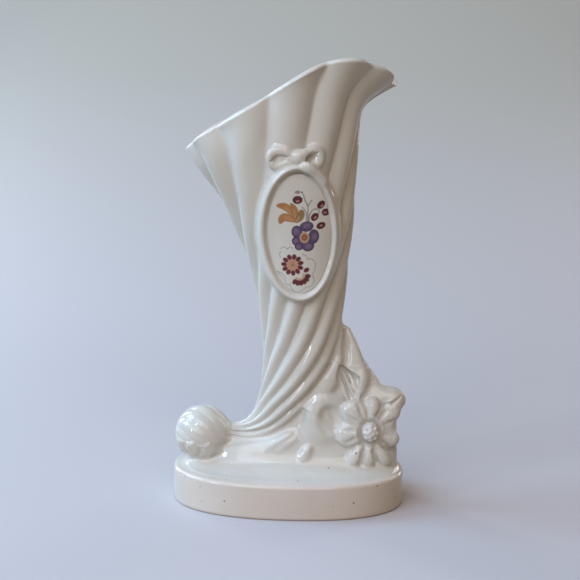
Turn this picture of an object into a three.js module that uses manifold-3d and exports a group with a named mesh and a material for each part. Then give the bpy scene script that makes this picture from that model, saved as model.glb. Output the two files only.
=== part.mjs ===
// White glazed pottery vase: a gadrooned horn of plenty on an oval plinth, with a moulded bouquet.
// Millimetres, +Z up. X runs to the viewer's right, Y away from the viewer, and the origin is the
// middle of the plinth's foot.

import * as THREE from 'three';
import { mergeVertices } from 'three/addons/utils/BufferGeometryUtils.js';
import Module from 'manifold-3d';

const wasm = await Module();
wasm.setup();

// Driving dimensions

const JOINT_GAP = 0.3;

const PLINTH_LENGTH = 110;
const PLINTH_DEPTH = 70;
const PLINTH_HEIGHT = 16.5;
const PLINTH_SQUARENESS = 2.3;
const PLINTH_EDGE_RADIUS = 1.6;
const PLINTH_WALL = 6;
const PLINTH_ROOF = 5;
const FOOT_BEVEL = 0.8;

// From the plinth to the right edge of the mouth, and across the mouth from edge to edge.
const HORN_HEIGHT = 182;
const HORN_SPAN = 97;
const HORN_DEPTH = 62;
const LOBE_COUNT = 12;
const LOBE_DEPTH_AT_MOUTH = 2.6;
const LOBE_DEPTH_AT_TAIL = 1.1;
const MOUTH_CREASE_ANGLE = 42;
// How much wider the lobes are at the front than at the back, near the mouth.
const LOBE_SPREAD = 0.09;
const HORN_WALL = 4;
const LIP_RADIUS = 1.9;
const RIM_RISE = 17;
const RIM_SKEW = 0.44;
const RIM_ROUNDNESS = 1.3;
const RIM_BACK_DROP = 0.19;
const BORE_START = 3.4;

// Stations up the horn, tail first. The left and right edges are seen from the front: sideways in
// shares of HORN_SPAN, upward in shares of HORN_HEIGHT above the plinth. Depth is in shares of
// HORN_DEPTH, and twist is how far the lobes have turned, in degrees, since the mouth.
const HORN_STATIONS = [
  { left: [-0.299, 0.109], right: [-0.289, 0.05], depth: 0.174, twist: 201 },
  { left: [-0.235, 0.114], right: [-0.155, 0.058], depth: 0.226, twist: 183 },
  { left: [-0.186, 0.14], right: [-0.01, 0.093], depth: 0.323, twist: 167 },
  { left: [-0.161, 0.179], right: [0.099, 0.154], depth: 0.419, twist: 153 },
  { left: [-0.147, 0.228], right: [0.175, 0.22], depth: 0.484, twist: 131.5 },
  { left: [-0.143, 0.294], right: [0.224, 0.292], depth: 0.535, twist: 109.5 },
  { left: [-0.153, 0.365], right: [0.242, 0.371], depth: 0.574, twist: 88 },
  { left: [-0.178, 0.442], right: [0.255, 0.464], depth: 0.619, twist: 70 },
  { left: [-0.222, 0.536], right: [0.268, 0.56], depth: 0.684, twist: 49 },
  { left: [-0.282, 0.618], right: [0.284, 0.668], depth: 0.755, twist: 29 },
  { left: [-0.361, 0.698], right: [0.289, 0.777], depth: 0.832, twist: 11 },
  { left: [-0.447, 0.761], right: [0.299, 0.882], depth: 0.91, twist: -1.5 },
  { left: [-0.491, 0.794], right: [0.336, 0.949], depth: 0.955, twist: -4 },
  { left: [-0.531, 0.824], right: [0.468, 0.999], depth: 1, twist: 0 },
];

// The middle of the ball at the tail: its reach is a share of HORN_SPAN, its rise is from the plinth.
const TAIL_REACH_SHARE = 0.427;
const TAIL_RISE = 14.5;
const TAIL_RADIUS = 13.4;
const TAIL_LOBES = 9;
const TAIL_LOBE_DEPTH = 0.6;

const MOUND_LENGTH = 98;
const MOUND_DEPTH = 56;
const MOUND_RISE = 7;
const TAIL_PAD_RADIUS = 12.5;
const TAIL_PAD_RISE = 10.5;

// The bank behind the flowers. Its stations, bottom first, are in shares of these sizes.
const BANK_CENTRE_X = 6;
const BANK_LENGTH = 92;
const BANK_DEPTH = 36;
const BANK_RISE = 68;
const BANK_SQUARENESS = 2.6;
const BANK_STATIONS = [
  { rise: 0, left: -0.5, right: 0.5, depth: 1 },
  { rise: 0.074, left: -0.478, right: 0.5, depth: 0.833 },
  { rise: 0.147, left: -0.435, right: 0.498, depth: 0.722 },
  { rise: 0.235, left: -0.239, right: 0.493, depth: 0.667 },
  { rise: 0.338, left: -0.109, right: 0.489, depth: 0.622 },
  { rise: 0.5, left: -0.043, right: 0.457, depth: 0.533 },
  { rise: 0.588, left: -0.011, right: 0.408, depth: 0.467 },
  { rise: 0.721, left: 0.022, right: 0.337, depth: 0.378 },
  { rise: 0.868, left: 0.043, right: 0.267, depth: 0.289 },
  { rise: 1, left: 0.065, right: 0.213, depth: 0.189 },
];

const MEDALLION_CENTRE_X = 2;
const MEDALLION_HEIGHT_SHARE = 0.634;
const MEDALLION_WIDTH = 38;
const MEDALLION_HEIGHT = 63.5;
const MEDALLION_LEAN = 3.2;
const FRAME_WIDTH = 5;
const FRAME_PROUD = 3.5;
const PANEL_PROUD = 1.8;
const PANEL_THICKNESS = 4;

const KNOT_WIDTH = 7;
const KNOT_HEIGHT = 6;
const LOOP_LENGTH = 12.5;
const LOOP_WIDTH = 9;
const LOOP_RISES = [0.5, 2];
const RIBBON_REACH = 10.5;
const RIBBON_DROPS = [6, 8];
const RIBBON_WIDTH = 4.2;
const BOW_PROUD = 4;

const FLOWER_CENTRE_DIAMETER = 9;
const PETAL_COUNT = 8;
const PETAL_LENGTH = 13.2;
const PETAL_WIDTH = 10.4;
const PETAL_THICKNESS = 3.6;

const BUD_DIAMETER = 10;
const BLOSSOM_DIAMETER = 14;
const LEAF_WIDTH = 11;
const LEAF_THICKNESS = 4;
const GROUND_LEAF_WIDTH = 6;

// Where things are laid on the bank: sideways from its middle and upward, in shares of the bank.
// Widths are in shares of LEAF_WIDTH, and how far they stand proud in shares of LEAF_THICKNESS.
const FLOWER_PLACE = [0.343, 0.316];
const BUD_PLACE = [0.478, 0.507];
const BLOSSOM_PLACE = [0.125, 0.412];
const LEAVES = [
  { name: 'leaf_fold', base: [0.283, 0.493], tip: [0.337, 0.743], width: 0.6, proud: 0.65 },
  { name: 'leaf_upper', base: [0.25, 0.493], tip: [0.178, 0.772], width: 1, proud: 0.5 },
  { name: 'leaf_right', base: [0.38, 0.478], tip: [0.413, 0.669], width: 0.64, proud: 0.45 },
  { name: 'tall_leaf_1', base: [0.217, 0.699], tip: [0.207, 0.993], width: 0.46, proud: 0.4 },
  { name: 'tall_leaf_2', base: [0.283, 0.669], tip: [0.246, 0.919], width: 0.46, proud: 0.4 },
];

// Small leaves at the foot of the bank, placed as above, their tips further out than their bases.
const GROUND_LEAF_PROUD = [0, 0.85];
const GROUND_LEAVES = [
  { name: 'ground_leaf_1', base: [0.109, 0.147], tip: [-0.011, 0.059] },
  { name: 'ground_leaf_2', base: [-0.087, 0.162], tip: [-0.196, 0.066] },
];

// Leaves under the ball at the tail, from its middle and in shares of its radius.
const TAIL_LEAVES = [
  { name: 'tail_leaf_1', base: [-0.194, -0.746, -0.3], tip: [-0.716, -0.784, -0.896] },
  { name: 'tail_leaf_2', base: [0.03, -0.82, -0.3], tip: [-0.157, -1.194, -0.91] },
  { name: 'tail_leaf_3', base: [0.403, -0.784, -0.3], tip: [0.478, -1.194, -0.91] },
];

const glaze = { color: 0xd9d6d0, roughness: 0.16, metalness: 0 };
const plinthGlaze = { color: 0xdccfc6, roughness: 0.34, metalness: 0 };
const panelGlaze = { color: 0xdedcd6, roughness: 0.1, metalness: 0 };

const vase = new THREE.Group();

// Small helpers

const radians = THREE.MathUtils.degToRad;
const lerp = THREE.MathUtils.lerp;
const smoothstep = THREE.MathUtils.smoothstep;
const vec = (x, y, z) => new THREE.Vector3(x, y, z);

// Closed mesh through rings of points; each end is closed by a fan, or the last ring joins the first.
function loft(rings, joined = false) {
  const count = rings[0].length;
  const points = rings.flat();
  const faces = [];
  const strips = joined ? rings.length : rings.length - 1;
  for (let i = 0; i < strips; i += 1) {
    const lower = i * count;
    const upper = ((i + 1) % rings.length) * count;
    for (let j = 0; j < count; j += 1) {
      const next = (j + 1) % count;
      faces.push(lower + j, lower + next, upper + next);
      faces.push(lower + j, upper + next, upper + j);
    }
  }
  if (!joined) {
    const last = (rings.length - 1) * count;
    const start = points.length;
    points.push(middle(rings[0]), middle(rings[rings.length - 1]));
    for (let j = 0; j < count; j += 1) {
      const next = (j + 1) % count;
      faces.push(start, next, j);
      faces.push(start + 1, last + j, last + next);
    }
  }
  const geometry = new THREE.BufferGeometry().setFromPoints(points);
  geometry.setIndex(faces);
  return toSolid(geometry);
}

function middle(ring) {
  const sum = ring.reduce((total, point) => total.add(point), vec(0, 0, 0));
  return sum.divideScalar(ring.length);
}

function toSolid(geometry) {
  const bare = geometry.clone();
  bare.deleteAttribute('normal');
  bare.deleteAttribute('uv');
  const merged = mergeVertices(bare, 1e-4);
  const solid = new wasm.Manifold(new wasm.Mesh({
    numProp: 3,
    vertProperties: new Float32Array(merged.attributes.position.array),
    triVerts: new Uint32Array(merged.index.array),
  }));
  return solid.volume() < 0 ? flipped(merged) : solid;
}

function flipped(geometry) {
  const index = geometry.index.array;
  const turned = new Uint32Array(index.length);
  for (let i = 0; i < index.length; i += 3) {
    turned.set([index[i], index[i + 2], index[i + 1]], i);
  }
  return new wasm.Manifold(new wasm.Mesh({
    numProp: 3,
    vertProperties: new Float32Array(geometry.attributes.position.array),
    triVerts: turned,
  }));
}

// The largest connected body of a cut solid; what a cut leaves behind as crumbs is dropped.
function largestBody(solid) {
  const mesh = solid.getMesh();
  const parent = Array.from({ length: mesh.numVert }, (_, i) => i);
  const find = (i) => {
    let root = i;
    while (parent[root] !== root) root = parent[root];
    parent[i] = root;
    return root;
  };
  const tris = mesh.triVerts;
  for (let i = 0; i < tris.length; i += 3) {
    parent[find(tris[i + 1])] = find(tris[i]);
    parent[find(tris[i + 2])] = find(tris[i]);
  }
  const bodies = new Map();
  for (let i = 0; i < tris.length; i += 3) {
    const root = find(tris[i]);
    if (!bodies.has(root)) bodies.set(root, []);
    bodies.get(root).push(tris[i], tris[i + 1], tris[i + 2]);
  }
  const step = mesh.numProp;
  const corner = (i) => vec(...mesh.vertProperties.slice(i * step, i * step + 3));
  const volume = (faces) => {
    let sum = 0;
    for (let i = 0; i < faces.length; i += 3) {
      sum += corner(faces[i]).dot(corner(faces[i + 1]).cross(corner(faces[i + 2]))) / 6;
    }
    return sum;
  };
  const ranked = [...bodies.values()].sort((one, two) => volume(two) - volume(one));
  return { mesh, faces: ranked[0] };
}

function addPart(name, solid, look) {
  const { mesh, faces } = largestBody(solid);
  const points = [];
  for (const i of faces) {
    points.push(...mesh.vertProperties.slice(i * mesh.numProp, i * mesh.numProp + 3));
  }
  const loose = new THREE.BufferGeometry();
  loose.setAttribute('position', new THREE.Float32BufferAttribute(points, 3));
  const geometry = mergeVertices(loose, 1e-5);
  geometry.computeVertexNormals();
  const part = new THREE.Mesh(geometry, new THREE.MeshStandardMaterial(look));
  part.name = name;
  vase.add(part);
}

// Pieces are laid in order, and each later one is cut back to a thin joint around the earlier ones.
let laid = null;

function lay(name, shape, look = glaze) {
  const body = shape(0);
  addPart(name, laid ? body.subtract(laid) : body, look);
  const grown = shape(JOINT_GAP);
  laid = laid ? laid.add(grown) : grown;
}

// Horn

function onFace([across, upward]) {
  return vec(across * HORN_SPAN, 0, PLINTH_HEIGHT + upward * HORN_HEIGHT);
}

const hornLeft = new THREE.CatmullRomCurve3(HORN_STATIONS.map((s) => onFace(s.left)));
const hornRight = new THREE.CatmullRomCurve3(HORN_STATIONS.map((s) => onFace(s.right)));
const hornSpare = new THREE.CatmullRomCurve3(
  HORN_STATIONS.map((s) => vec((s.depth * HORN_DEPTH) / 2, s.twist, 0)),
);
const LAST_STATION = HORN_STATIONS.length - 1;
const MOUTH_RISE_START = 9;

// Middle, sideways half axis, half depth and twist at a station number between 0 and LAST_STATION.
function hornSection(station) {
  const t = station / LAST_STATION;
  const left = hornLeft.getPoint(t);
  const right = hornRight.getPoint(t);
  const spare = hornSpare.getPoint(t);
  return {
    centre: left.clone().add(right).multiplyScalar(0.5),
    half: right.clone().sub(left).multiplyScalar(0.5),
    halfDepth: spare.x,
    twist: spare.y,
  };
}

function rimLift(angle, station) {
  const share = smoothstep(station, MOUTH_RISE_START, LAST_STATION) ** 1.3;
  const skew = 1 + RIM_SKEW * Math.tanh(2 * Math.cos(angle));
  const drop = RIM_BACK_DROP * Math.max(0, -Math.sin(angle)) ** 0.7;
  return share * RIM_RISE * Math.abs(Math.sin(angle)) ** RIM_ROUNDNESS * skew * (1 - drop);
}

function lobeSpread(station) {
  return LOBE_SPREAD * smoothstep(station, MOUTH_RISE_START, LAST_STATION - 1);
}

// Point on the horn. The angle starts at the right edge and passes the front at 90 degrees; lobe is
// how much of the lobes' relief shows, and inset moves the wall inwards.
function hornPoint(station, angle, inset, lobe) {
  const section = hornSection(station);
  const crease = radians(MOUTH_CREASE_ANGLE + section.twist);
  const across = ((angle + lobeSpread(station) * Math.cos(angle) - crease) * LOBE_COUNT) / 2;
  const bulge = Math.abs(Math.sin(across)) ** 0.8;
  const depth = lerp(LOBE_DEPTH_AT_TAIL, LOBE_DEPTH_AT_MOUTH, station / LAST_STATION);
  const sunk = inset + depth * lobe * (1 - bulge) + depth * (1 - lobe) * 0.5;
  const width = section.half.length();
  const sideways = section.half.clone().multiplyScalar((Math.cos(angle) * (width - sunk)) / width);
  const forward = -Math.sin(angle) * (section.halfDepth - sunk);
  const point = section.centre.clone().add(sideways);
  point.y = forward;
  point.z += rimLift(angle, station);
  return point;
}

const FACETS_PER_LOBE = 6;
const HORN_FACETS = LOBE_COUNT * FACETS_PER_LOBE;

function hornRing(station, inset, lobe, rise = 0) {
  const start = radians(MOUTH_CREASE_ANGLE + hornSection(station).twist);
  const ring = [];
  for (let j = 0; j < HORN_FACETS; j += 1) {
    const even = start + (j / HORN_FACETS) * 2 * Math.PI;
    let angle = even;
    for (let turn = 0; turn < 6; turn += 1) angle = even - lobeSpread(station) * Math.cos(angle);
    const point = hornPoint(station, angle, inset, lobe);
    point.z += rise;
    ring.push(point);
  }
  return ring;
}

function hornStations(from, to, count) {
  return Array.from({ length: count }, (_, i) => lerp(from, to, i / (count - 1)));
}

const OUTER_STATIONS = hornStations(0, LAST_STATION, 18);
const BORE_RINGS = 9;

// Solid outside of the horn, grown by a gap, for cutting its neighbours.
function hornOutside(gap) {
  return loft(OUTER_STATIONS.map((station) => hornRing(station, -gap, 1)));
}

// The horn itself: up the outside, over the rounded lip and down the bore to its floor.
function hornShell() {
  const rings = OUTER_STATIONS.map((station) => hornRing(station, 0, 1));
  rings.push(hornRing(LAST_STATION, LIP_RADIUS * 0.5, 0.9, LIP_RADIUS * 0.8));
  rings.push(hornRing(LAST_STATION, LIP_RADIUS * 1.4, 0.7, LIP_RADIUS * 0.8));
  for (const station of hornStations(LAST_STATION, BORE_START, BORE_RINGS)) {
    rings.push(hornRing(station, HORN_WALL, 0.5));
  }
  rings.push(hornRing(BORE_START - 0.25, HORN_WALL * 1.7, 0));
  return loft(rings);
}

addPart('horn', hornShell(), glaze);
laid = hornOutside(JOINT_GAP);

// Front of the horn without its lobes, where the medallion and the bow are laid.
function hornFront(x, z) {
  let low = 3;
  let high = LAST_STATION;
  let point = vec(0, 0, 0);
  for (let i = 0; i < 40; i += 1) {
    const station = (low + high) / 2;
    const section = hornSection(station);
    const across = THREE.MathUtils.clamp((x - section.centre.x) / section.half.x, -1, 1);
    const angle = Math.acos(across);
    point = hornPoint(station, angle, 0, 0);
    if (point.z < z) low = station;
    else high = station;
  }
  return point.y;
}

// Curled tail: a ball with shallow lobes that meet at the side away from the horn

const tailCentre = vec(-TAIL_REACH_SHARE * HORN_SPAN, 0, PLINTH_HEIGHT + TAIL_RISE);

function tailBall(gap) {
  const rings = [];
  const turns = 11;
  for (let i = 1; i < turns; i += 1) {
    const polar = (i / turns) * Math.PI;
    const ring = [];
    for (let j = 0; j < TAIL_LOBES * 4; j += 1) {
      const around = (j / (TAIL_LOBES * 4)) * 2 * Math.PI;
      const swirl = around + polar * 0.6;
      const dip = TAIL_LOBE_DEPTH * (1 - Math.abs(Math.sin((around * TAIL_LOBES) / 2)));
      const radius = TAIL_RADIUS - dip * Math.sin(polar) + gap;
      ring.push(vec(
        tailCentre.x - radius * Math.cos(polar),
        radius * Math.sin(polar) * Math.cos(swirl),
        tailCentre.z + radius * Math.sin(polar) * Math.sin(swirl),
      ));
    }
    rings.push(ring);
  }
  return loft(rings);
}

lay('horn_tail', tailBall);

// Plinth: an oval slab with a rounded top edge, hollow underneath, resting on its foot ring

function oval(halfX, halfY, z, facets = 48, squareness = PLINTH_SQUARENESS, centreX = 0) {
  const ring = [];
  for (let j = 0; j < facets; j += 1) {
    const angle = (j / facets) * 2 * Math.PI;
    const cos = Math.cos(angle);
    const sin = Math.sin(angle);
    const power = 2 / squareness;
    ring.push(vec(
      centreX + halfX * Math.sign(cos) * Math.abs(cos) ** power,
      halfY * Math.sign(sin) * Math.abs(sin) ** power,
      z,
    ));
  }
  return ring;
}

function plinthRing(inset, z) {
  return oval(PLINTH_LENGTH / 2 - inset, PLINTH_DEPTH / 2 - inset, z);
}

function plinthShape() {
  const roof = PLINTH_HEIGHT - PLINTH_ROOF;
  const shoulder = PLINTH_HEIGHT - PLINTH_EDGE_RADIUS;
  const rings = [plinthRing(PLINTH_WALL + FOOT_BEVEL, roof), plinthRing(PLINTH_WALL, roof - FOOT_BEVEL)];
  rings.push(plinthRing(PLINTH_WALL, 0), plinthRing(FOOT_BEVEL, 0), plinthRing(0, FOOT_BEVEL));
  for (let i = 0; i <= 3; i += 1) {
    const turn = (i / 3) * (Math.PI / 2);
    const inset = PLINTH_EDGE_RADIUS * (1 - Math.cos(turn));
    rings.push(plinthRing(inset, shoulder + PLINTH_EDGE_RADIUS * Math.sin(turn)));
  }
  return loft(rings);
}

addPart('plinth', plinthShape(), plinthGlaze);

// Mound: a low hill, a pad under the ball and the bank that rises behind the flowers, in one piece

function moundHill(gap) {
  const rings = [oval(MOUND_LENGTH / 2 + gap, MOUND_DEPTH / 2 + gap, PLINTH_HEIGHT)];
  const steps = 7;
  for (let i = 0; i < steps; i += 1) {
    const share = 1 - i / steps;
    const rise = JOINT_GAP + MOUND_RISE * Math.cos((share * Math.PI) / 2) ** 2;
    const z = PLINTH_HEIGHT + rise + gap;
    rings.push(oval((MOUND_LENGTH / 2) * share + gap, (MOUND_DEPTH / 2) * share + gap, z));
  }
  return loft(rings);
}

function tailPad(gap) {
  const rings = [];
  const steps = 5;
  for (let i = 0; i <= steps; i += 1) {
    const turn = (i / (steps + 1)) * (Math.PI / 2);
    const half = TAIL_PAD_RADIUS * Math.cos(turn) ** 0.6 + gap;
    const z = PLINTH_HEIGHT + TAIL_PAD_RISE * Math.sin(turn);
    rings.push(oval(half, half, z, 24, 2, tailCentre.x + FOOT_BEVEL));
  }
  return loft(rings);
}

const bankStations = BANK_STATIONS.map(({ rise, left, right, depth }) => ({
  z: PLINTH_HEIGHT + rise * BANK_RISE,
  centreX: BANK_CENTRE_X + ((left + right) / 2) * BANK_LENGTH,
  halfLength: ((right - left) / 2) * BANK_LENGTH,
  halfDepth: (depth * BANK_DEPTH) / 2,
}));

function bankSolid(gap) {
  return loft(bankStations.map(({ z, centreX, halfLength, halfDepth }) => (
    oval(halfLength + gap, halfDepth + gap, z, 32, BANK_SQUARENESS, centreX)
  )));
}

// Front face of the bank at a place seen from the front.
function bankFront(x, z) {
  let i = 0;
  while (i < bankStations.length - 2 && bankStations[i + 1].z < z) i += 1;
  const low = bankStations[i];
  const high = bankStations[i + 1];
  const t = THREE.MathUtils.clamp((z - low.z) / (high.z - low.z), 0, 1);
  const centreX = lerp(low.centreX, high.centreX, t);
  const halfLength = lerp(low.halfLength, high.halfLength, t);
  const across = Math.min(1, Math.abs(x - centreX) / halfLength);
  const share = Math.max(0.02, 1 - across ** BANK_SQUARENESS) ** (1 / BANK_SQUARENESS);
  return -lerp(low.halfDepth, high.halfDepth, t) * share;
}

lay('mound', (gap) => moundHill(gap).add(tailPad(gap)).add(bankSolid(gap)));

// Sprigs: leaves, petals and ribbons are one kind of shape, a long cushion from a base to a tip

function sprig({ base, tip, facing, width, thickness, fullness = 0.7, keel = 0, arch = 0 }) {
  return (gap) => {
    const along = tip.clone().sub(base);
    const length = along.length();
    along.normalize();
    const side = along.clone().cross(facing).normalize();
    const up = side.clone().cross(along).normalize();
    const rings = [];
    const steps = 6;
    const facets = 10;
    for (let i = 0; i <= steps; i += 1) {
      const t = lerp(0.015, 0.985, i / steps);
      const swell = Math.sin(Math.PI * t ** fullness) ** 0.65;
      const half = (width / 2) * swell + gap;
      const thick = (thickness / 2) * (0.35 + 0.65 * swell) + gap;
      const stretch = length / 2 + gap;
      const centre = base.clone().addScaledVector(along, length / 2 + (2 * t - 1) * stretch);
      centre.addScaledVector(up, arch * Math.sin(Math.PI * t));
      const ring = [];
      for (let j = 0; j < facets; j += 1) {
        const angle = (j / facets) * 2 * Math.PI;
        const cos = Math.cos(angle);
        const point = centre.clone().addScaledVector(side, half * cos);
        point.addScaledVector(up, thick * Math.sin(angle) + keel * Math.abs(cos) * swell);
        ring.push(point);
      }
      rings.push(ring);
    }
    return loft(rings);
  };
}

// Smooth ball stretched to three half sizes, for a knot, a bud and a flower's middle.
function pebble(centre, halfX, halfY, halfZ) {
  return (gap) => {
    const ball = new THREE.SphereGeometry(1, 14, 9);
    ball.scale(halfX + gap, halfY + gap, halfZ + gap);
    ball.translate(centre.x, centre.y, centre.z);
    return toSolid(ball);
  };
}

// Medallion

const medallionAxis = radians(MEDALLION_LEAN);
const medallionCentreZ = PLINTH_HEIGHT + HORN_HEIGHT * MEDALLION_HEIGHT_SHARE;

// Place on an oval that stands inside the medallion's edge by the inset, or nearer the middle by a share.
function medallionPlace(inset, angle, share = 1) {
  const across = (MEDALLION_WIDTH / 2 - inset) * Math.cos(angle) * share;
  const upward = (MEDALLION_HEIGHT / 2 - inset) * Math.sin(angle) * share;
  const x = MEDALLION_CENTRE_X + across * Math.cos(medallionAxis) - upward * Math.sin(medallionAxis);
  const z = medallionCentreZ + across * Math.sin(medallionAxis) + upward * Math.cos(medallionAxis);
  return vec(x, hornFront(x, z), z);
}

function medallionFrame(gap) {
  const facets = 36;
  const rings = [];
  for (let j = 0; j < facets; j += 1) {
    const angle = (j / facets) * 2 * Math.PI;
    const centre = medallionPlace(FRAME_WIDTH / 2, angle);
    const outward = medallionPlace(0, angle).sub(centre).normalize();
    const ring = [];
    for (let k = 0; k < 8; k += 1) {
      const turn = (k / 8) * 2 * Math.PI;
      const point = centre.clone().addScaledVector(outward, (FRAME_WIDTH / 2 + gap) * Math.cos(turn));
      point.y -= (FRAME_PROUD + gap) * Math.sin(turn);
      ring.push(point);
    }
    rings.push(ring);
  }
  return loft(rings, true);
}

function medallionPanel(gap) {
  const rings = [];
  const back = PANEL_PROUD - PANEL_THICKNESS;
  const rows = [[0.02, back], [1, back], [1, PANEL_PROUD], [0.6, PANEL_PROUD], [0.3, PANEL_PROUD],
    [0.02, PANEL_PROUD]];
  for (const [share, proud] of rows) {
    const ring = [];
    for (let j = 0; j < 32; j += 1) {
      const point = medallionPlace(FRAME_WIDTH, (j / 32) * 2 * Math.PI, share);
      point.y -= proud + gap;
      ring.push(point);
    }
    rings.push(ring);
  }
  return loft(rings);
}

lay('medallion_frame', medallionFrame);
lay('medallion_panel', medallionPanel);

// Bow above the medallion

const toViewer = vec(0, -1, 0);

function onHorn(x, z, proud) {
  return vec(x, hornFront(x, z) - proud, z);
}

const crown = medallionPlace(0, Math.PI / 2);
const knot = onHorn(crown.x, crown.z + KNOT_HEIGHT * 0.43, BOW_PROUD * 0.5);
lay('bow_knot', pebble(knot, KNOT_WIDTH / 2, BOW_PROUD * 0.8, KNOT_HEIGHT / 2));

for (const [i, name] of ['left', 'right'].entries()) {
  const side = 2 * i - 1;
  const loopTip = onHorn(knot.x + side * LOOP_LENGTH, knot.z + LOOP_RISES[i], BOW_PROUD * 0.5);
  lay(`bow_loop_${name}`, sprig({
    base: knot,
    tip: loopTip,
    facing: toViewer,
    width: LOOP_WIDTH,
    thickness: BOW_PROUD,
    fullness: 1.3,
    keel: 0.6,
  }));
}

for (const [i, name] of ['left', 'right'].entries()) {
  const side = 2 * i - 1;
  const end = onHorn(knot.x + side * RIBBON_REACH, knot.z - RIBBON_DROPS[i], BOW_PROUD * 0.75);
  lay(`ribbon_${name}`, sprig({
    base: knot,
    tip: end,
    facing: toViewer,
    width: RIBBON_WIDTH,
    thickness: BOW_PROUD * 0.8,
    arch: 0.8,
  }));
}

// Bouquet

function onBank([across, upward], proud) {
  const x = BANK_CENTRE_X + across * BANK_LENGTH;
  const z = PLINTH_HEIGHT + upward * BANK_RISE;
  return vec(x, bankFront(x, z) - proud, z);
}

const flowerFacing = vec(0.18, -1, 0.12).normalize();
const flowerHeart = onBank(FLOWER_PLACE, PETAL_THICKNESS * 0.9);
const heartHalf = FLOWER_CENTRE_DIAMETER / 2;
lay('flower_centre', pebble(flowerHeart, heartHalf, heartHalf * 0.8, heartHalf));

for (let i = 0; i < PETAL_COUNT; i += 1) {
  const angle = (i / PETAL_COUNT) * 2 * Math.PI + 0.35;
  const outward = vec(Math.cos(angle), 0, Math.sin(angle));
  outward.addScaledVector(flowerFacing, -outward.dot(flowerFacing)).normalize();
  const base = flowerHeart.clone().addScaledVector(outward, heartHalf * 0.5);
  base.addScaledVector(flowerFacing, -PETAL_THICKNESS * 0.4);
  const tip = base.clone().addScaledVector(outward, PETAL_LENGTH);
  lay(`flower_petal_${i + 1}`, sprig({
    base,
    tip,
    facing: flowerFacing,
    width: PETAL_WIDTH,
    thickness: PETAL_THICKNESS,
    fullness: 1.25,
    keel: -0.4,
  }));
}

const budHalf = BUD_DIAMETER / 2;
const bud = onBank(BUD_PLACE, -budHalf * 0.5);
lay('bud_right', pebble(bud, budHalf, budHalf * 0.84, budHalf));

// The side blossom is a cushion with a dished face.
const blossomHalf = BLOSSOM_DIAMETER / 2;
const blossom = onBank(BLOSSOM_PLACE, LEAF_THICKNESS);
const dish = blossom.clone().addScaledVector(toViewer, blossomHalf * 0.7);
lay('side_blossom', (gap) => {
  const cushion = pebble(blossom, blossomHalf, blossomHalf * 0.6, blossomHalf)(gap);
  const hollow = pebble(dish, blossomHalf * 0.72, blossomHalf * 0.5, blossomHalf * 0.72)(0);
  return cushion.subtract(hollow);
});

for (const { name, base, tip, width, proud } of LEAVES) {
  lay(name, sprig({
    base: onBank(base, proud * LEAF_THICKNESS),
    tip: onBank(tip, proud * LEAF_THICKNESS * 0.8),
    facing: toViewer,
    width: width * LEAF_WIDTH,
    thickness: LEAF_THICKNESS,
    keel: 0.5,
  }));
}

const groundLeaf = { facing: vec(0, -0.7, 0.7), width: GROUND_LEAF_WIDTH, thickness: LEAF_THICKNESS };

for (const { name, base, tip } of GROUND_LEAVES) {
  const [inner, outer] = GROUND_LEAF_PROUD.map((share) => share * LEAF_THICKNESS);
  lay(name, sprig({ base: onBank(base, inner), tip: onBank(tip, outer), ...groundLeaf }));
}

function besideTail(shares) {
  return tailCentre.clone().addScaledVector(vec(...shares), TAIL_RADIUS);
}

for (const { name, base, tip } of TAIL_LEAVES) {
  lay(name, sprig({ base: besideTail(base), tip: besideTail(tip), ...groundLeaf }));
}

export default vase;
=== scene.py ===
"""White glazed vase: a gadrooned horn of plenty on an oval plinth.

A moulded bouquet stands at its right, and an oval medallion with a bow and a floral print is on its front.
Shapes are worked out in millimetres in the part's own frame and become meshes in metres.
"""

import math

import bpy
import numpy as np
import openvdb as vdb
from mathutils import Matrix, Vector


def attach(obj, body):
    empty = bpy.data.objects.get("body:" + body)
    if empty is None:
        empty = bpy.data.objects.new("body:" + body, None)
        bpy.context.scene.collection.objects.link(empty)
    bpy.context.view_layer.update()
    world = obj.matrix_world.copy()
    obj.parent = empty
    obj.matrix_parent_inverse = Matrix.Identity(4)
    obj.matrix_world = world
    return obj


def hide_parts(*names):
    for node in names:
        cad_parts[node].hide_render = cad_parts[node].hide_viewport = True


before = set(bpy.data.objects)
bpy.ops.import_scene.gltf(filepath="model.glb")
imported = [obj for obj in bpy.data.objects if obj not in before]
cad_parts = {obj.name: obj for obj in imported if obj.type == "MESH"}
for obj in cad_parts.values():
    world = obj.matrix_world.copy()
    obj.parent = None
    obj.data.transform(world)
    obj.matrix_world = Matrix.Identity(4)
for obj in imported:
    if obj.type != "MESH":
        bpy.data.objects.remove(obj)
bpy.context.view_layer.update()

MM = 0.001

# Main sizes, in millimetres and degrees

PLINTH_LENGTH = 110
PLINTH_DEPTH = 70
PLINTH_HEIGHT = 16.5
PLINTH_SQUARENESS = 2.3
PLINTH_EDGE_RADIUS = 1.7
PLINTH_BELLY = 0.15
PLINTH_WALL = 6
PLINTH_ROOF = 5
FOOT_BEVEL = 0.8

HORN_HEIGHT = 182
HORN_SPAN = 97
HORN_DEPTH = 62
HORN_WALL = 4
LOBE_COUNT = 12
LOBE_DEPTH_AT_MOUTH = 3.3
LOBE_DEPTH_AT_TAIL = 1.3
LOBE_SPREAD = 0.09
CROWN_POWER = 0.4
CREASE_SOFTNESS = 0.007
CREASE_SOFTNESS_LOW = 0.06
MOUTH_CREASE_ANGLE = 42
MOUTH_RISE_START = 9
LIP_RADIUS = 1.9
RIM_RISE = 17
RIM_RISE_POWER = 1.3
RIM_SKEW = 0.44
RIM_ROUNDNESS = 1.3
RIM_BACK_DROP = 0.19
RIM_DROP_POWER = 0.7
BORE_START = 3.4
BORE_RELIEF = 0.5
BORE_FLOOR_REACH = 0.45

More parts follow.
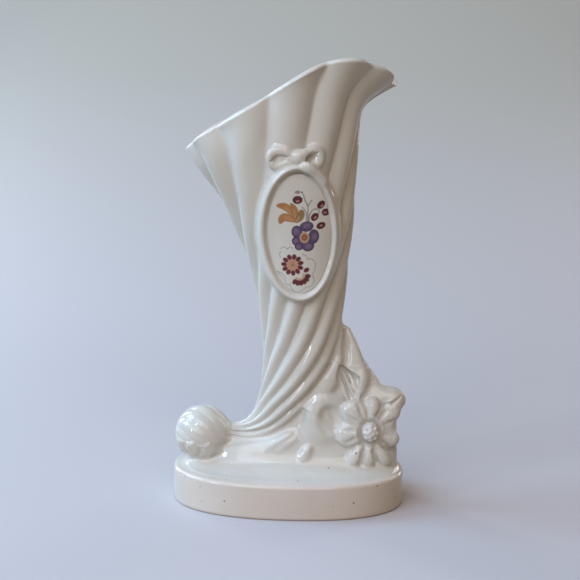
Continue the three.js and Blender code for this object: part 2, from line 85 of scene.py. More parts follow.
# Stations up the horn, tail first: left x, left z, right x, right z, depth and twist. Sideways in shares
# of HORN_SPAN, upward in shares of HORN_HEIGHT above the plinth, depth in shares of HORN_DEPTH, and how
# far the lobes have turned since the mouth, in degrees.
HORN_STATIONS = np.array([
    (-0.299, 0.109, -0.289, 0.050, 0.174, 201),
    (-0.235, 0.114, -0.155, 0.058, 0.226, 183),
    (-0.186, 0.140, -0.010, 0.093, 0.323, 167),
    (-0.161, 0.179, 0.099, 0.154, 0.419, 153),
    (-0.147, 0.228, 0.175, 0.220, 0.484, 131.5),
    (-0.143, 0.294, 0.224, 0.292, 0.535, 109.5),
    (-0.153, 0.365, 0.242, 0.371, 0.574, 88),
    (-0.178, 0.442, 0.255, 0.464, 0.619, 70),
    (-0.222, 0.536, 0.268, 0.560, 0.684, 49),
    (-0.282, 0.618, 0.284, 0.668, 0.755, 29),
    (-0.361, 0.698, 0.289, 0.777, 0.832, 11),
    (-0.447, 0.761, 0.299, 0.882, 0.910, -1.5),
    (-0.491, 0.794, 0.336, 0.949, 0.955, -4),
    (-0.531, 0.824, 0.468, 0.999, 1.000, 0),
])
LAST_STATION = len(HORN_STATIONS) - 1
FRONT_START = 3.0
HALVINGS = 30

TAIL_CENTRE = np.array([-41.4, 0.0, 31.0])
TAIL_RADIUS = 13.4
TAIL_LOBES = 9
TAIL_LOBE_DEPTH = 0.7
TAIL_CREASE_SOFTNESS = 0.02
TAIL_FADE_POWER = 0.7
TAIL_SWIRL = 0.9

MEDALLION_CENTRE = (2.0, 131.9)
MEDALLION_WIDTH = 39.4
MEDALLION_HEIGHT = 64.5
MEDALLION_LEAN = math.radians(3.2)
FRAME_WIDTH = 6.0
FRAME_END_WIDTH = 5.2
FRAME_SINK = 2.5
PANEL_SHIFT = 0.1
PANEL_PROUD = 2.15
PANEL_TUCK = 0.5
PANEL_THICKNESS = 0.8


# Curves and surfaces


def smoothstep(value, low, high):
    t = np.clip((value - low) / (high - low), 0, 1)
    return t * t * (3 - 2 * t)


def full_turn(count):
    """Even angles round a circle."""
    return np.arange(count) / count * 2 * math.pi


def turned(u, v, angle):
    """A place turned about the origin."""
    cos, sin = math.cos(angle), math.sin(angle)
    return u * cos - v * sin, u * sin + v * cos


def unit(vector):
    return vector / np.linalg.norm(vector)


def natural_spline(values):
    """Smooth curve through values that stand at 0, 1, 2 and so on, as a function of that place."""
    values = np.asarray(values, float)
    count = len(values)
    system = np.eye(count)
    right = np.zeros(count)
    for i in range(1, count - 1):
        system[i, i - 1:i + 2] = 1, 4, 1
        right[i] = 6 * (values[i + 1] - 2 * values[i] + values[i - 1])
    second = np.linalg.solve(system, right)

    def at(place):
        place = np.clip(np.asarray(place, float), 0, count - 1)
        i = np.minimum(place.astype(int), count - 2)
        b = place - i
        a = 1 - b
        bend = (a**3 - a) * second[i] + (b**3 - b) * second[i + 1]
        return a * values[i] + b * values[i + 1] + bend / 6

    return at


left_x, left_z, right_x, right_z, horn_depth, horn_twist = (
    natural_spline(column * scale + lift)
    for column, scale, lift in zip(
        HORN_STATIONS.T,
        (HORN_SPAN, HORN_HEIGHT, HORN_SPAN, HORN_HEIGHT, HORN_DEPTH / 2, 1),
        (0, PLINTH_HEIGHT, 0, PLINTH_HEIGHT, 0, 0),
    )
)


def rim_lift(angle, station):
    share = smoothstep(station, MOUTH_RISE_START, LAST_STATION) ** RIM_RISE_POWER
    skew = 1 + RIM_SKEW * np.tanh(2 * np.cos(angle))
    drop = RIM_BACK_DROP * np.clip(-np.sin(angle), 0, 1) ** RIM_DROP_POWER
    return share * RIM_RISE * np.abs(np.sin(angle)) ** RIM_ROUNDNESS * skew * (1 - drop)


def lobe_spread(station):
    """How much wider the lobes are at the front than at the back, near the mouth."""
    return LOBE_SPREAD * smoothstep(station, MOUTH_RISE_START, LAST_STATION - 1)


def lobe_bulge(angle, station):
    """How full the lobes are, from 0 in a crease to 1 on a crown."""
    crease = np.radians(MOUTH_CREASE_ANGLE + horn_twist(station))
    across = (angle + lobe_spread(station) * np.cos(angle) - crease) * LOBE_COUNT / 2
    softness = CREASE_SOFTNESS + CREASE_SOFTNESS_LOW * (1 - smoothstep(station, 0, MOUTH_RISE_START))
    low = softness**CROWN_POWER
    return ((np.sin(across) ** 2 + softness) ** CROWN_POWER - low) / ((1 + softness) ** CROWN_POWER - low)


def between(left, right, station):
    """Middle and half width between two edges of the horn."""
    return (right(station) + left(station)) / 2, (right(station) - left(station)) / 2


def horn_point(station, angle, inset, lobe):
    """Points on the horn. The angle starts at the right edge and passes the front at a quarter turn; lobe
    is how much of the lobes' relief shows, and inset moves the wall inwards."""
    middle_x, half_x = between(left_x, right_x, station)
    middle_z, half_z = between(left_z, right_z, station)
    width = np.hypot(half_x, half_z)
    depth = LOBE_DEPTH_AT_TAIL + (LOBE_DEPTH_AT_MOUTH - LOBE_DEPTH_AT_TAIL) * station / LAST_STATION
    sunk = inset + depth * lobe * (1 - lobe_bulge(angle, station)) + depth * (1 - lobe) / 2
    reach = np.cos(angle) * (width - sunk) / width
    y = -np.sin(angle) * (horn_depth(station) - sunk)
    z = middle_z + half_z * reach + rim_lift(angle, station)
    return np.stack(np.broadcast_arrays(middle_x + half_x * reach, y, z), -1)


def horn_front(x, z):
    """Depth of the horn's front at places seen from the front, with its lobes smoothed away. The station
    that lies at each place's height is found by halving, from above the tail's curve to the mouth."""
    low = np.full(np.shape(x), FRONT_START)
    high = np.full(np.shape(x), float(LAST_STATION))
    for _ in range(HALVINGS):
        station = (low + high) / 2
        middle_x, half_x = between(left_x, right_x, station)
        across = (x - middle_x) / half_x
        angle = np.arccos(np.clip(across, -1, 1))
        for _ in range(2):
            found = horn_point(station, angle, 0, 0)
            across = across + (x - found[..., 0]) / half_x
            angle = np.arccos(np.clip(across, -1, 1))
        found = horn_point(station, angle, 0, 0)
        below = found[..., 2] < z
        low = np.where(below, station, low)
        high = np.where(below, high, station)
    return found[..., 1]


def ring_faces(rows, columns, joined=True):
    """Quads of a grid of points. Each row closes on itself where joined."""
    i, j = np.meshgrid(np.arange(rows - 1), np.arange(columns if joined else columns - 1), indexing="ij")
    k = (j + 1) % columns
    quads = np.stack([i * columns + j, i * columns + k, (i + 1) * columns + k, (i + 1) * columns + j], -1)
    return quads.reshape(-1, 4)


def outward(points, quads, triangles):
    """The same faces, turned so that the solid's volume counts as positive."""
    faces = np.concatenate([triangles, quads[:, [0, 1, 2]], quads[:, [0, 2, 3]]])
    a, b, c = (points[faces[:, n]] for n in range(3))
    if np.einsum("ij,ij->i", a, np.cross(b, c)).sum() < 0:
        return points, quads[:, ::-1], triangles[:, ::-1]
    return points, quads, triangles


def skinned_solid(rings):
    """Points and faces of a solid skinned over rings of points, with a point in the middle of each end."""
    rings = np.asarray(rings)
    rows, columns = rings.shape[:2]
    points = np.concatenate([rings.reshape(-1, 3), rings[0].mean(0)[None], rings[-1].mean(0)[None]])
    quads = ring_faces(rows, columns)
    j = np.arange(columns)
    k = (j + 1) % columns
    top = (rows - 1) * columns
    first = np.stack([np.full(columns, rows * columns), k, j], -1)
    last = np.stack([np.full(columns, rows * columns + 1), top + j, top + k], -1)
    return outward(points, quads, np.concatenate([first, last]))


# Meshes


def add_to_scene(name, data):
    thing = bpy.data.objects.new(name, data)
    bpy.context.scene.collection.objects.link(thing)
    return thing


def smooth_mesh(name, points, faces):
    mesh = bpy.data.meshes.new(name)
    mesh.from_pydata(points, [], faces)
    mesh.shade_smooth()
    return mesh


def make_skin(node, points, quads, triangles, material, slot, normals=None, colours=None):
    """The piece that replaces a node; its colours, where it has them, are the inks of the print."""
    name = f"{node}_skin"
    mesh = smooth_mesh(name, (points * MM).tolist(), quads.tolist() + triangles.tolist())
    if colours is not None:
        layer = mesh.color_attributes.new("print", "FLOAT_COLOR", "POINT")
        flat = np.concatenate([colours, np.ones((len(colours), 1))], 1)
        layer.data.foreach_set("color", flat.astype(np.float32).ravel())
    if normals is not None:
        mesh.normals_split_custom_set_from_vertices(normals.tolist())
    mesh.materials.append(material)
    piece = add_to_scene(name, mesh)
    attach(piece, "root")
    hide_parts(node)


# Materials

WHITE = (1, 1, 1)
BLACK = (0, 0, 0)
CLOUD_SCALE = 38
CLEAN_UP_TO = 0.36
WARM_FROM = 0.68
SHINE_SCALE = 60
SHINE_LEAST = 0.8
SHINE_MOST = 1.3
WAVE_SCALE = 75
SPECK_SCALE = 180
SPECK_CORE = 0.045
SPECK_EDGE = 0.1
SPECK_COLOUR = (0.16, 0.11, 0.08)
SPECKS_THIN_OUT_FROM = 26
SPECKS_END_AT = 38
GLAZE_IOR = 1.52


class Shading:
    """A material that is put together node by node. A value is a socket, a number or a colour."""

    def __init__(self, name):
        self.material = bpy.data.materials.new(name)
        self.material.use_nodes = True
        self.tree = self.material.node_tree
        self.tree.nodes.clear()
        self.shader = self.node("BsdfPrincipled")
        self.node("OutputMaterial", {"Surface": self.shader.outputs["BSDF"]})
        self.place = self.node("TexCoord").outputs["Object"]

    def feed(self, node, inputs):
        for name, value in inputs.items():
            if isinstance(value, bpy.types.NodeSocket):
                self.tree.links.new(value, node.inputs[name])
            else:
                node.inputs[name].default_value = (*value, 1) if isinstance(value, tuple) else value

    def node(self, kind, inputs=None):
        node = self.tree.nodes.new(f"ShaderNode{kind}")
        self.feed(node, inputs or {})
        return node

    def noise(self, scale, detail):
        inputs = {"Vector": self.place, "Scale": scale, "Detail": detail}
        return self.node("TexNoise", inputs).outputs["Fac"]

    def height(self):
        """Height above the table, in metres."""
        return self.node("SeparateXYZ", {"Vector": self.place}).outputs["Z"]

    def ramp(self, source, stops):
        node = self.node("ValToRGB", {"Fac": source})
        elements = node.color_ramp.elements
        while len(elements) < len(stops):
            elements.new(0.5)
        for element, (place, colour) in zip(elements, stops):
            element.position = place
            element.color = (*colour, 1)
        return node.outputs["Color"]

    def mapped(self, source, low, high, start, stop):
        """The source's values, with low to high spread over start to stop."""
        inputs = {"Value": source, "From Min": low, "From Max": high, "To Min": start, "To Max": stop}
        return self.node("MapRange", inputs).outputs["Result"]

    def maths(self, operation, first, second):
        node = self.node("Math", {0: first, 1: second})
        node.operation = operation
        return node.outputs["Value"]

    def mixed(self, factor, first, second, kind="MIX"):
        node = self.node("Mix")
        node.data_type = "RGBA"
        node.blend_type = kind
        self.feed(node, {0: factor, 6: first, 7: second})
        return node.outputs[2]


def speck_mask(shading, share):
    """1 in scattered pinholes, which thin out with height."""
    specks = shading.node("TexVoronoi", {"Vector": shading.place, "Scale": SPECK_SCALE}).outputs
    limit = shading.mapped(shading.height(), SPECKS_THIN_OUT_FROM * MM, SPECKS_END_AT * MM, share, 0)
    chosen = shading.maths("LESS_THAN", specks["Color"], limit)
    dots = shading.ramp(specks["Distance"], [(SPECK_CORE, WHITE), (SPECK_EDGE, BLACK)])
    return shading.mixed(1.0, chosen, dots, "MULTIPLY")


def glaze_material(name, clean, warm, roughness, waviness, speck_share, printed=False):
    """Glossy glaze with faint clouds of warmer tone, a wavy skin and a few brown pinholes. A printed one
    also takes the inks that its piece carries."""
    shading = Shading(name)
    tone = shading.ramp(shading.noise(CLOUD_SCALE, 3), [(CLEAN_UP_TO, clean), (WARM_FROM, warm)])
    colour = shading.mixed(speck_mask(shading, speck_share), tone, SPECK_COLOUR)
    if printed:
        inks = shading.node("VertexColor")
        inks.layer_name = "print"
        colour = shading.mixed(1.0, colour, inks.outputs["Color"], "MULTIPLY")
    shine = shading.noise(SHINE_SCALE, 2)
    shine = shading.mapped(shine, 0, 1, roughness * SHINE_LEAST, roughness * SHINE_MOST)
    waves = {"Height": shading.noise(WAVE_SCALE, 2), "Strength": 1, "Distance": waviness * MM}
    bump = shading.node("Bump", waves).outputs["Normal"]
    glossy = {"Base Color": colour, "Roughness": shine, "Normal": bump, "IOR": GLAZE_IOR}
    shading.feed(shading.shader, glossy)
    return shading.material


glaze = glaze_material("glaze", (0.70, 0.68, 0.645), (0.68, 0.648, 0.6), 0.045, 0.35, 0.42)
plinth_glaze = glaze_material("plinth_glaze", (0.76, 0.69, 0.645), (0.735, 0.65, 0.59), 0.1, 0.3, 0.52)
panel_glaze = glaze_material(
    "panel_glaze", (0.72, 0.70, 0.665), (0.70, 0.68, 0.64), 0.06, 0.12, 0.0, printed=True
)

# Horn

HORN_ROWS = 230
BORE_ROWS = 110
LIP_STEPS = 13
FLOOR_STEPS = 8
LOBE_COLUMNS = 26
HORN_COLUMNS = LOBE_COUNT * LOBE_COLUMNS
SPREAD_ROUNDS = 6
FLOOR_MIDDLE = 0.05


def horn_ring(station, inset, lobe, rise=0.0):
    """A ring of points that stand evenly on each lobe."""
    even = math.radians(MOUTH_CREASE_ANGLE + float(horn_twist(station))) + full_turn(HORN_COLUMNS)
    angle = even
    for _ in range(SPREAD_ROUNDS):
        angle = even - lobe_spread(station) * np.cos(angle)
    ring = horn_point(np.full(HORN_COLUMNS, float(station)), angle, inset, lobe)
    ring[:, 2] += rise
    return ring


def horn_rings():
    """Rings up the outside, over the lip and down the bore to its rounded floor."""
    rings = [horn_ring(station, 0, 1) for station in np.linspace(0, LAST_STATION, HORN_ROWS)]
    for turn in np.linspace(0, math.pi, LIP_STEPS)[1:-1]:
        inset = HORN_WALL * (1 - math.cos(turn)) / 2
        lobe = 1 - (1 - BORE_RELIEF) * turn / math.pi
        rings.append(horn_ring(LAST_STATION, inset, lobe, LIP_RADIUS * math.sin(turn)))
    for station in np.linspace(LAST_STATION, BORE_START, BORE_ROWS):
        rings.append(horn_ring(station, HORN_WALL, BORE_RELIEF))
    for turn in np.linspace(0, math.pi / 2, FLOOR_STEPS)[1:]:
        share = math.sin(turn)
        ring = horn_ring(BORE_START - BORE_FLOOR_REACH * share, HORN_WALL, BORE_RELIEF * (1 - share))
        middle = ring.mean(0)
        rings.append(middle + (ring - middle) * max(FLOOR_MIDDLE, math.cos(turn)))
    return rings


horn_solid = skinned_solid(horn_rings())
make_skin("horn", *horn_solid, glaze, "glaze")

# Curled tail

TAIL_ROWS = 120
TAIL_COLUMNS = 216
POLE_GAP = 0.01


def tail_ball():
    """Rings round the ball, with its lobes swirled about an axis that lies sideways."""
    polar = np.linspace(POLE_GAP, math.pi - POLE_GAP, TAIL_ROWS)[:, None]
    turn = full_turn(TAIL_COLUMNS)[None]
    swirl = turn + polar * TAIL_SWIRL
    across = turn * TAIL_LOBES / 2
    dip = TAIL_LOBE_DEPTH * (1 - (np.sin(across) ** 2 + TAIL_CREASE_SOFTNESS) ** CROWN_POWER)
    radius = TAIL_RADIUS - dip * np.sin(polar) ** TAIL_FADE_POWER
    return TAIL_CENTRE + np.stack([
        -radius * np.cos(polar),
        radius * np.sin(polar) * np.cos(swirl),
        radius * np.sin(polar) * np.sin(swirl),
    ], -1)


tail_solid = skinned_solid(tail_ball())
make_skin("horn_tail", *tail_solid, glaze, "glaze")

# Plinth

PLINTH_COLUMNS = 360
ROOF_INSETS = (30, 20, 12, PLINTH_WALL + FOOT_BEVEL)
HOLLOW_HEIGHTS = (PLINTH_HEIGHT - PLINTH_ROOF - FOOT_BEVEL, 6, 1, 0.3)
SIDE_START = 1.6
SIDE_STEPS = 12
EDGE_STEPS = 9
TOP_INSETS = (3, 5, 8, 12, 18, 25, 33)

# The foot that it stands on, with a small bevel: inset and height.
FOOT_PROFILE = [(PLINTH_WALL - 0.3, 0), (4, 0), (1.4, 0), (FOOT_BEVEL, 0.05), (0.35, 0.35), (0.08, 0.8)]


def oval(half_x, half_y, z, squareness, count):
    """A level ring that is fuller in its corners than an ellipse."""
    angle = full_turn(count)
    cos, sin = np.cos(angle), np.sin(angle)
    power = 2 / squareness
    x = half_x * np.sign(cos) * np.abs(cos) ** power
    y = half_y * np.sign(sin) * np.abs(sin) ** power
    return np.stack([x, y, np.full(count, float(z))], -1)


def plinth_rings():
    """Rings from the hollow's roof down its wall, round the foot and up over the edge to the top."""
    roof = PLINTH_HEIGHT - PLINTH_ROOF
    edge_start = PLINTH_HEIGHT - PLINTH_EDGE_RADIUS
    steps = [(inset, roof) for inset in ROOF_INSETS]
    steps += [(PLINTH_WALL, z) for z in HOLLOW_HEIGHTS]
    steps += FOOT_PROFILE
    for z in np.linspace(SIDE_START, edge_start, SIDE_STEPS):
        steps.append((PLINTH_BELLY * math.cos(math.pi * z / PLINTH_HEIGHT) ** 2 / 2, z))
    for turn in np.linspace(0, math.pi / 2, EDGE_STEPS)[1:]:
        inset = PLINTH_EDGE_RADIUS * (1 - math.cos(turn)) + PLINTH_BELLY / 2
        steps.append((inset, PLINTH_HEIGHT - PLINTH_EDGE_RADIUS * (1 - math.sin(turn))))
    steps += [(inset, PLINTH_HEIGHT) for inset in TOP_INSETS]
    return [
        oval(PLINTH_LENGTH / 2 - inset, PLINTH_DEPTH / 2 - inset, z, PLINTH_SQUARENESS, PLINTH_COLUMNS)
        for inset, z in steps
    ]


plinth_solid = skinned_solid(plinth_rings())
make_skin("plinth", *plinth_solid, plinth_glaze, "plinth_glaze")

# Relief low down: the mound, its bank, the flowers and the leaves, blended into what carries them

BAND = 15
FADE_CELLS = 7
LEAF_MARGIN = 5.0
LEAF_BLUNTNESS = 0.65
LEAF_TIP_THICKNESS = 0.35
WHOLE = (slice(None),) * 3


class Block:
    """A box of space cut into cells."""

    def __init__(self, low, shape, cell):
        self.low = np.array(low, float)
        self.shape = shape
        self.cell = cell
        self.axes = [start + cell * np.arange(count) for start, count in zip(low, shape)]

    def window(self, low, high):
        start = np.maximum(np.floor((np.asarray(low) - self.low) / self.cell).astype(int), 0)
        stop = np.minimum(np.ceil((np.asarray(high) - self.low) / self.cell).astype(int) + 1, self.shape)
        return tuple(slice(a, b) for a, b in zip(start, stop))

    def places(self, window=WHOLE):
        axes = [axis[part] for axis, part in zip(self.axes, window)]
        return np.meshgrid(*axes, indexing="ij", sparse=True)

    def offsets(self, window, start):
        """How far a window's cells lie from a place, along each axis."""
        return [axis - part for axis, part in zip(self.places(window), start)]


def solid_field(block, points, quads, triangles):
    """Signed distance to a closed mesh in a block of space, exact near the mesh's skin."""
    local = ((points - block.low) / block.cell).astype(np.float32)
    grid = vdb.FloatGrid.createLevelSetFromPolygons(
        local,
        triangles=np.ascontiguousarray(triangles, dtype=np.uint32),
        quads=np.ascontiguousarray(quads, dtype=np.uint32),
        transform=vdb.createLinearTransform(1.0),
        halfWidth=float(BAND),
    )
    field = np.empty(block.shape, np.float32)
    grid.copyToArray(field)
    return field * block.cell


def smooth_min(a, b, reach):
    h = np.maximum(reach - np.abs(a - b), 0) / reach
    return np.minimum(a, b) - h * h * reach / 4


class Relief:
    """Distance field that pieces are blended into, and which piece is nearest in each cell."""

    def __init__(self, block, base):
        self.block = block
        self.field = base.copy()
        self.nearest = np.full(block.shape, BAND * block.cell, np.float32)
        self.owner = np.full(block.shape, -1, np.int16)
        self.names = []

    def fade(self, window):
        """1 well inside a window and 0 at its sides, so that no seam shows where the window ends."""
        if window is WHOLE:
            return 1
        cells = [np.arange(part.stop - part.start) for part in window]
        along_x, along_y, along_z = (smoothstep(np.minimum(n, n[::-1]), 0, FADE_CELLS) for n in cells)
        return along_x[:, None, None] * along_y[:, None] * along_z

    def add(self, name, shape, reach):
        window, distance = shape
        blended = smooth_min(self.field[window], distance, reach)
        self.field[window] += (blended - self.field[window]) * self.fade(window)
        mine = distance < self.nearest[window]
        if name not in self.names:
            self.names.append(name)
        self.nearest[window] = np.where(mine, distance, self.nearest[window])
        self.owner[window] = np.where(mine, self.names.index(name), self.owner[window])

    def carve(self, shape, reach):
        window, distance = shape
        carved = -smooth_min(-self.field[window], distance, reach)
        self.field[window] += (carved - self.field[window]) * self.fade(window)

    def front(self, x, z, proud):
        """A place on the skin as it stands now, seen from the front."""
        low, cell = self.block.low, self.block.cell
        column = self.field[int(round((x - low[0]) / cell)), :, int(round((z - low[2]) / cell))]
        j = int(np.argmax(column < 0))
        if column[j] >= 0 or j == 0:
            return on_bank(x, z, proud)
        share = column[j - 1] / (column[j - 1] - column[j])
        return np.array([x, self.block.axes[1][j - 1] + share * cell - proud, z])


def distance_of(shape, cell):
    """Turns a shape function that is 0 on its skin into a distance, by its own slope."""
    slopes = np.gradient(shape, cell)
    steep = np.sqrt(sum(slope * slope for slope in slopes)) + 1e-6
    return shape / steep


def frame_axes(along, facing):
    along = np.asarray(along, float)
    length = np.linalg.norm(along)
    along = along / length
    side = unit(np.cross(along, facing))
    return length, along, side, np.cross(side, along)


def dot(offsets, axis):
    return sum(offset * part for offset, part in zip(offsets, axis))


def leaf_shape(block, base, tip, facing, width, thickness, fullness=0.7):
    """A leaf or petal from its base to its tip: its window on the grid and its distance there. The greater
    its fullness, the nearer its tip it is broadest."""
    base, tip = np.asarray(base, float), np.asarray(tip, float)
    length, along, side, up = frame_axes(tip - base, facing)
    reach = width / 2 + thickness + LEAF_MARGIN
    window = block.window(np.minimum(base, tip) - reach, np.maximum(base, tip) + reach)
    offsets = block.offsets(window, base)
    t = dot(offsets, along) / length
    u, w = dot(offsets, side), dot(offsets, up)
    swell = np.sin(math.pi * np.clip(t, 0.02, 0.98) ** fullness) ** LEAF_BLUNTNESS
    across = u / (width / 2 * swell)
    thick = thickness / 2 * (LEAF_TIP_THICKNESS + (1 - LEAF_TIP_THICKNESS) * swell)
    beyond = np.maximum(np.maximum(-t, t - 1), 0) * length / thick
    shape = np.sqrt(across**2 + (w / thick) ** 2 + beyond**2) - 1
    past = t * length - np.clip(t, 0, 1) * length
    around = np.sqrt(past**2 + u**2 + w**2) - (width / 2 + thickness / 2)
    return window, np.maximum(distance_of(shape, block.cell), around)


def pebble_shape(block, centre, halves, facing=(0, -1, 0), turn=0.0, margin=4.0):
    """A ball stretched to three half sizes: sideways, upward and towards the viewer."""
    centre = np.asarray(centre, float)
    _, up, side, out = frame_axes((math.sin(turn), 0, math.cos(turn)), facing)
    reach = max(halves) + margin
    window = block.window(centre - reach, centre + reach)
    offsets = block.offsets(window, centre)
    shares = [dot(offsets, axis) / half for axis, half in zip((side, up, out), halves)]
    shape = np.sqrt(sum(share * share for share in shares)) - 1
    return window, distance_of(shape, block.cell)


# The bank behind the flowers, bottom first: rise, left, right, depth, in millimetres from the plinth.
BANK_STATIONS = np.array([
    (0.0, -40.0, 52.0, 36.0),
    (5.0, -38.0, 52.0, 30.0),
    (10.0, -34.0, 51.8, 26.0),
    (16.0, -16.0, 51.4, 24.0),
    (23.0, -4.0, 51.0, 22.4),
    (34.0, 2.0, 48.0, 19.2),
    (40.0, 5.0, 43.5, 16.8),
    (49.0, 8.0, 37.0, 13.6),
    (59.0, 10.0, 30.6, 10.4),
    (68.0, 12.0, 25.6, 6.8),
])
BANK_SQUARENESS = 2.6
BANK_TOP = BANK_STATIONS[-1, 0]
BANK_ROWS = 70
BANK_COLUMNS = 160

HILL_HALF_LENGTH = 48
HILL_HALF_DEPTH = 26.5
HILL_SQUARENESS = 2.3
HILL_RISE = 7.0
HILL_SUNK = 1.0
HILL_END = 1.02
HILL_END_SLOPE = 28
TAIL_SEAT_RISE = 10.5
TAIL_SEAT_REACH = 9

BANK_FILLET = 6.0
MOUND_FILLET = 3.0
HORN_FILLET = 3.6
TAIL_FILLET = 2.6

bank_station = [natural_spline(BANK_STATIONS[:, n]) for n in (1, 2, 3)]


def bank_at(rise):
    place = np.interp(rise, BANK_STATIONS[:, 0], np.arange(len(BANK_STATIONS)))
    return [part(place) for part in bank_station]


def on_bank(x, z, proud):
    """A place on the bank's front, or in front of it by proud."""
    left, right, depth = bank_at(z - PLINTH_HEIGHT)
    across = np.minimum(1, np.abs(x - (left + right) / 2) / ((right - left) / 2))
    y = -depth / 2 * max(0.02, 1 - across**BANK_SQUARENESS) ** (1 / BANK_SQUARENESS)
    return np.array([x, y - proud, z])


def bank_solid():
    rings = []
    for rise in np.linspace(-1, BANK_TOP, BANK_ROWS):
        left, right, depth = bank_at(max(rise, 0))
        ring = oval((right - left) / 2, depth / 2, PLINTH_HEIGHT + rise, BANK_SQUARENESS, BANK_COLUMNS)
        ring[:, 0] += (left + right) / 2
        rings.append(ring)
    return skinned_solid(rings)


def mound_hill():
    """Low hill over most of the plinth, highest in its middle, with a seat for the tail."""
    x, y, z = low_block.places()
    along, deep = np.abs(x / HILL_HALF_LENGTH), np.abs(y / HILL_HALF_DEPTH)
    spread = (along**HILL_SQUARENESS + deep**HILL_SQUARENESS) ** (1 / HILL_SQUARENESS)
    rise = HILL_RISE * np.cos(np.minimum(spread, 1) * math.pi / 2) ** 2
    across = (x - TAIL_CENTRE[0] - 1) / TAIL_SEAT_REACH
    seat = TAIL_SEAT_RISE * np.exp(-(across**2 + (y / TAIL_SEAT_REACH) ** 2))
    height = PLINTH_HEIGHT - HILL_SUNK + np.sqrt(rise**2 + seat**2)
    slope_x, slope_y = np.gradient(height[:, :, 0], low_block.cell)
    steep = np.sqrt(1 + slope_x**2 + slope_y**2)[:, :, None]
    return np.maximum((z - height) / steep, HILL_END_SLOPE * (spread - HILL_END))


def blended_mound():
    """Mound and bank in one, with fillets to the plinth, the horn and its tail."""
    low = Relief(low_block, plinth_field)
    low.add("mound", (WHOLE, smooth_min(mound_hill(), bank_field, BANK_FILLET)), MOUND_FILLET)
    low.field = smooth_min(low.field, horn_field, HORN_FILLET)
    low.field = smooth_min(low.field, tail_field, TAIL_FILLET)
    return low


low_block = Block((-58.0, -31.2, 12.0), (292, 156, 196), 0.4)
horn_field = solid_field(low_block, *horn_solid)
tail_field = solid_field(low_block, *tail_solid)
plinth_field = solid_field(low_block, *plinth_solid)
bank_field = solid_field(low_block, *bank_solid())
relief = blended_mound()

OUT = np.array([0.0, -1.0, 0.0])
FLOWER_CENTRE = np.array([37.9, 37.4])
FLOWER_FACING = unit([0.2, -1.0, 0.12])
FLOWER_HEART = on_bank(*FLOWER_CENTRE, 2.6)
PETAL_HALF_THICKNESS = 3.4
PETAL_FAN = np.array([0.03, 0.024])
PETAL_REACH = 1.3
GROOVE_LEANS = (-0.3, 0.24)
GROOVE_START = 0.7
GROOVE_STOP = 1.25
DOME_HALVES = (4.2, 4.6, 3.9)
BEAD_RINGS = ((2.9, 8), (1.2, 4))
BEAD_HALVES = (1.05, 1.05, 1.0)
BEADS_END = 4.4
BEAD_SINK = 0.35

# Rounded petals: name, place sideways and upward, half width, half length, turn in degrees, how proud.
PETALS = [
    ("flower_petal_5", 31.8, 25.6, 3.8, 6.0, 20, 0.6),
    ("flower_petal_6", 37.8, 25.2, 4.0, 5.8, 2, 0.6),
    ("flower_petal_7", 43.8, 26.0, 3.6, 6.8, -32, 0.6),
    ("flower_petal_8", 46.2, 33.4, 4.6, 6.2, -74, 0.0),
    ("flower_petal_1", 46.0, 43.6, 4.8, 6.6, -126, 0.0),
    ("flower_petal_2", 39.0, 47.6, 4.0, 5.6, 176, 0.8),
    ("flower_petal_3", 30.4, 45.8, 6.2, 6.8, 138, 1.2),
    ("flower_petal_4", 28.2, 35.4, 6.0, 6.6, 92, 1.2),
]


def cut_off(shape, place, way):
    """The part of a shape that lies behind a plane through a place, on the side the way points from."""
    window, distance = shape
    return window, np.maximum(distance, dot(low_block.offsets(window, place), unit(way)))


def leaf(name, base, tip, width, thickness, reach, facing=OUT, fullness=0.7):
    relief.add(name, leaf_shape(low_block, base, tip, facing, width, thickness, fullness), reach)


def hollow(base, tip, width, thickness, reach):
    relief.carve(leaf_shape(low_block, base, tip, OUT, width, thickness), reach)


def pebble(name, centre, halves, reach, **form):
    relief.add(name, pebble_shape(low_block, centre, halves, **form), reach)


def fold(name, base, tip, width, thickness, reach):
    """A long soft swelling between two places, seen from the front."""
    way = tip - base
    halves = (width / 2, np.linalg.norm(way) / 2, thickness / 2)
    pebble(name, (base + tip) / 2, halves, reach, turn=math.atan2(way[0], way[2]))


def tall_leaves():
    """Two leaves behind the flower, with a hollow between them."""
    leaf("tall_leaf_1", on_bank(20.4, 60, 0.2), on_bank(22.8, 87, 0.6), 5.6, 4.4, 2.4)
    leaf("tall_leaf_2", on_bank(33.4, 57, -0.4), on_bank(27.2, 83, -0.2), 6.6, 4.4, 2.8)
    hollow(on_bank(26.0, 67, 1.4), on_bank(25.2, 84, 1.0), 3.6, 3.6, 1.8)


def pointed_leaf():
    """A hollow leaf with three veins, between a broad ridge and a fold, under a sharp upper edge."""
    leaf("leaf_upper", on_bank(11.0, 44.5, 0.4), on_bank(21.6, 69.0, 1.2), 8.4, 6.6, 3.0, fullness=0.85)
    leaf("leaf_fold", on_bank(31.8, 51.0, 0.8), on_bank(34.0, 66.6, -0.4), 6.4, 5.6, 1.8, fullness=1.5)
    leaf("leaf_right", on_bank(42.0, 49.0, 0.2), on_bank(39.6, 60.5, -1.0), 6.0, 3.2, 2.6)
    bottom, top = on_bank(28.0, 47.0, 1.6), on_bank(26.4, 73.0, 1.4)
    interior = leaf_shape(low_block, bottom, top, (0.5, -1, 0), 12.0, 8.0, fullness=1.2)
    relief.carve(cut_off(interior, (22.2, 0, 68.4), (0.5, 0, 0.85)), 0.5)
    veins = [((30.0, 52.5), (24.2, 65.0)), ((27.0, 51.5), (22.8, 62.5)), ((31.6, 54.5), (27.6, 63.2))]
    for low, high in veins:
        leaf("leaf_upper", relief.front(*low, 0.1), relief.front(*high, 0.0), 1.7, 1.9, 1.4)


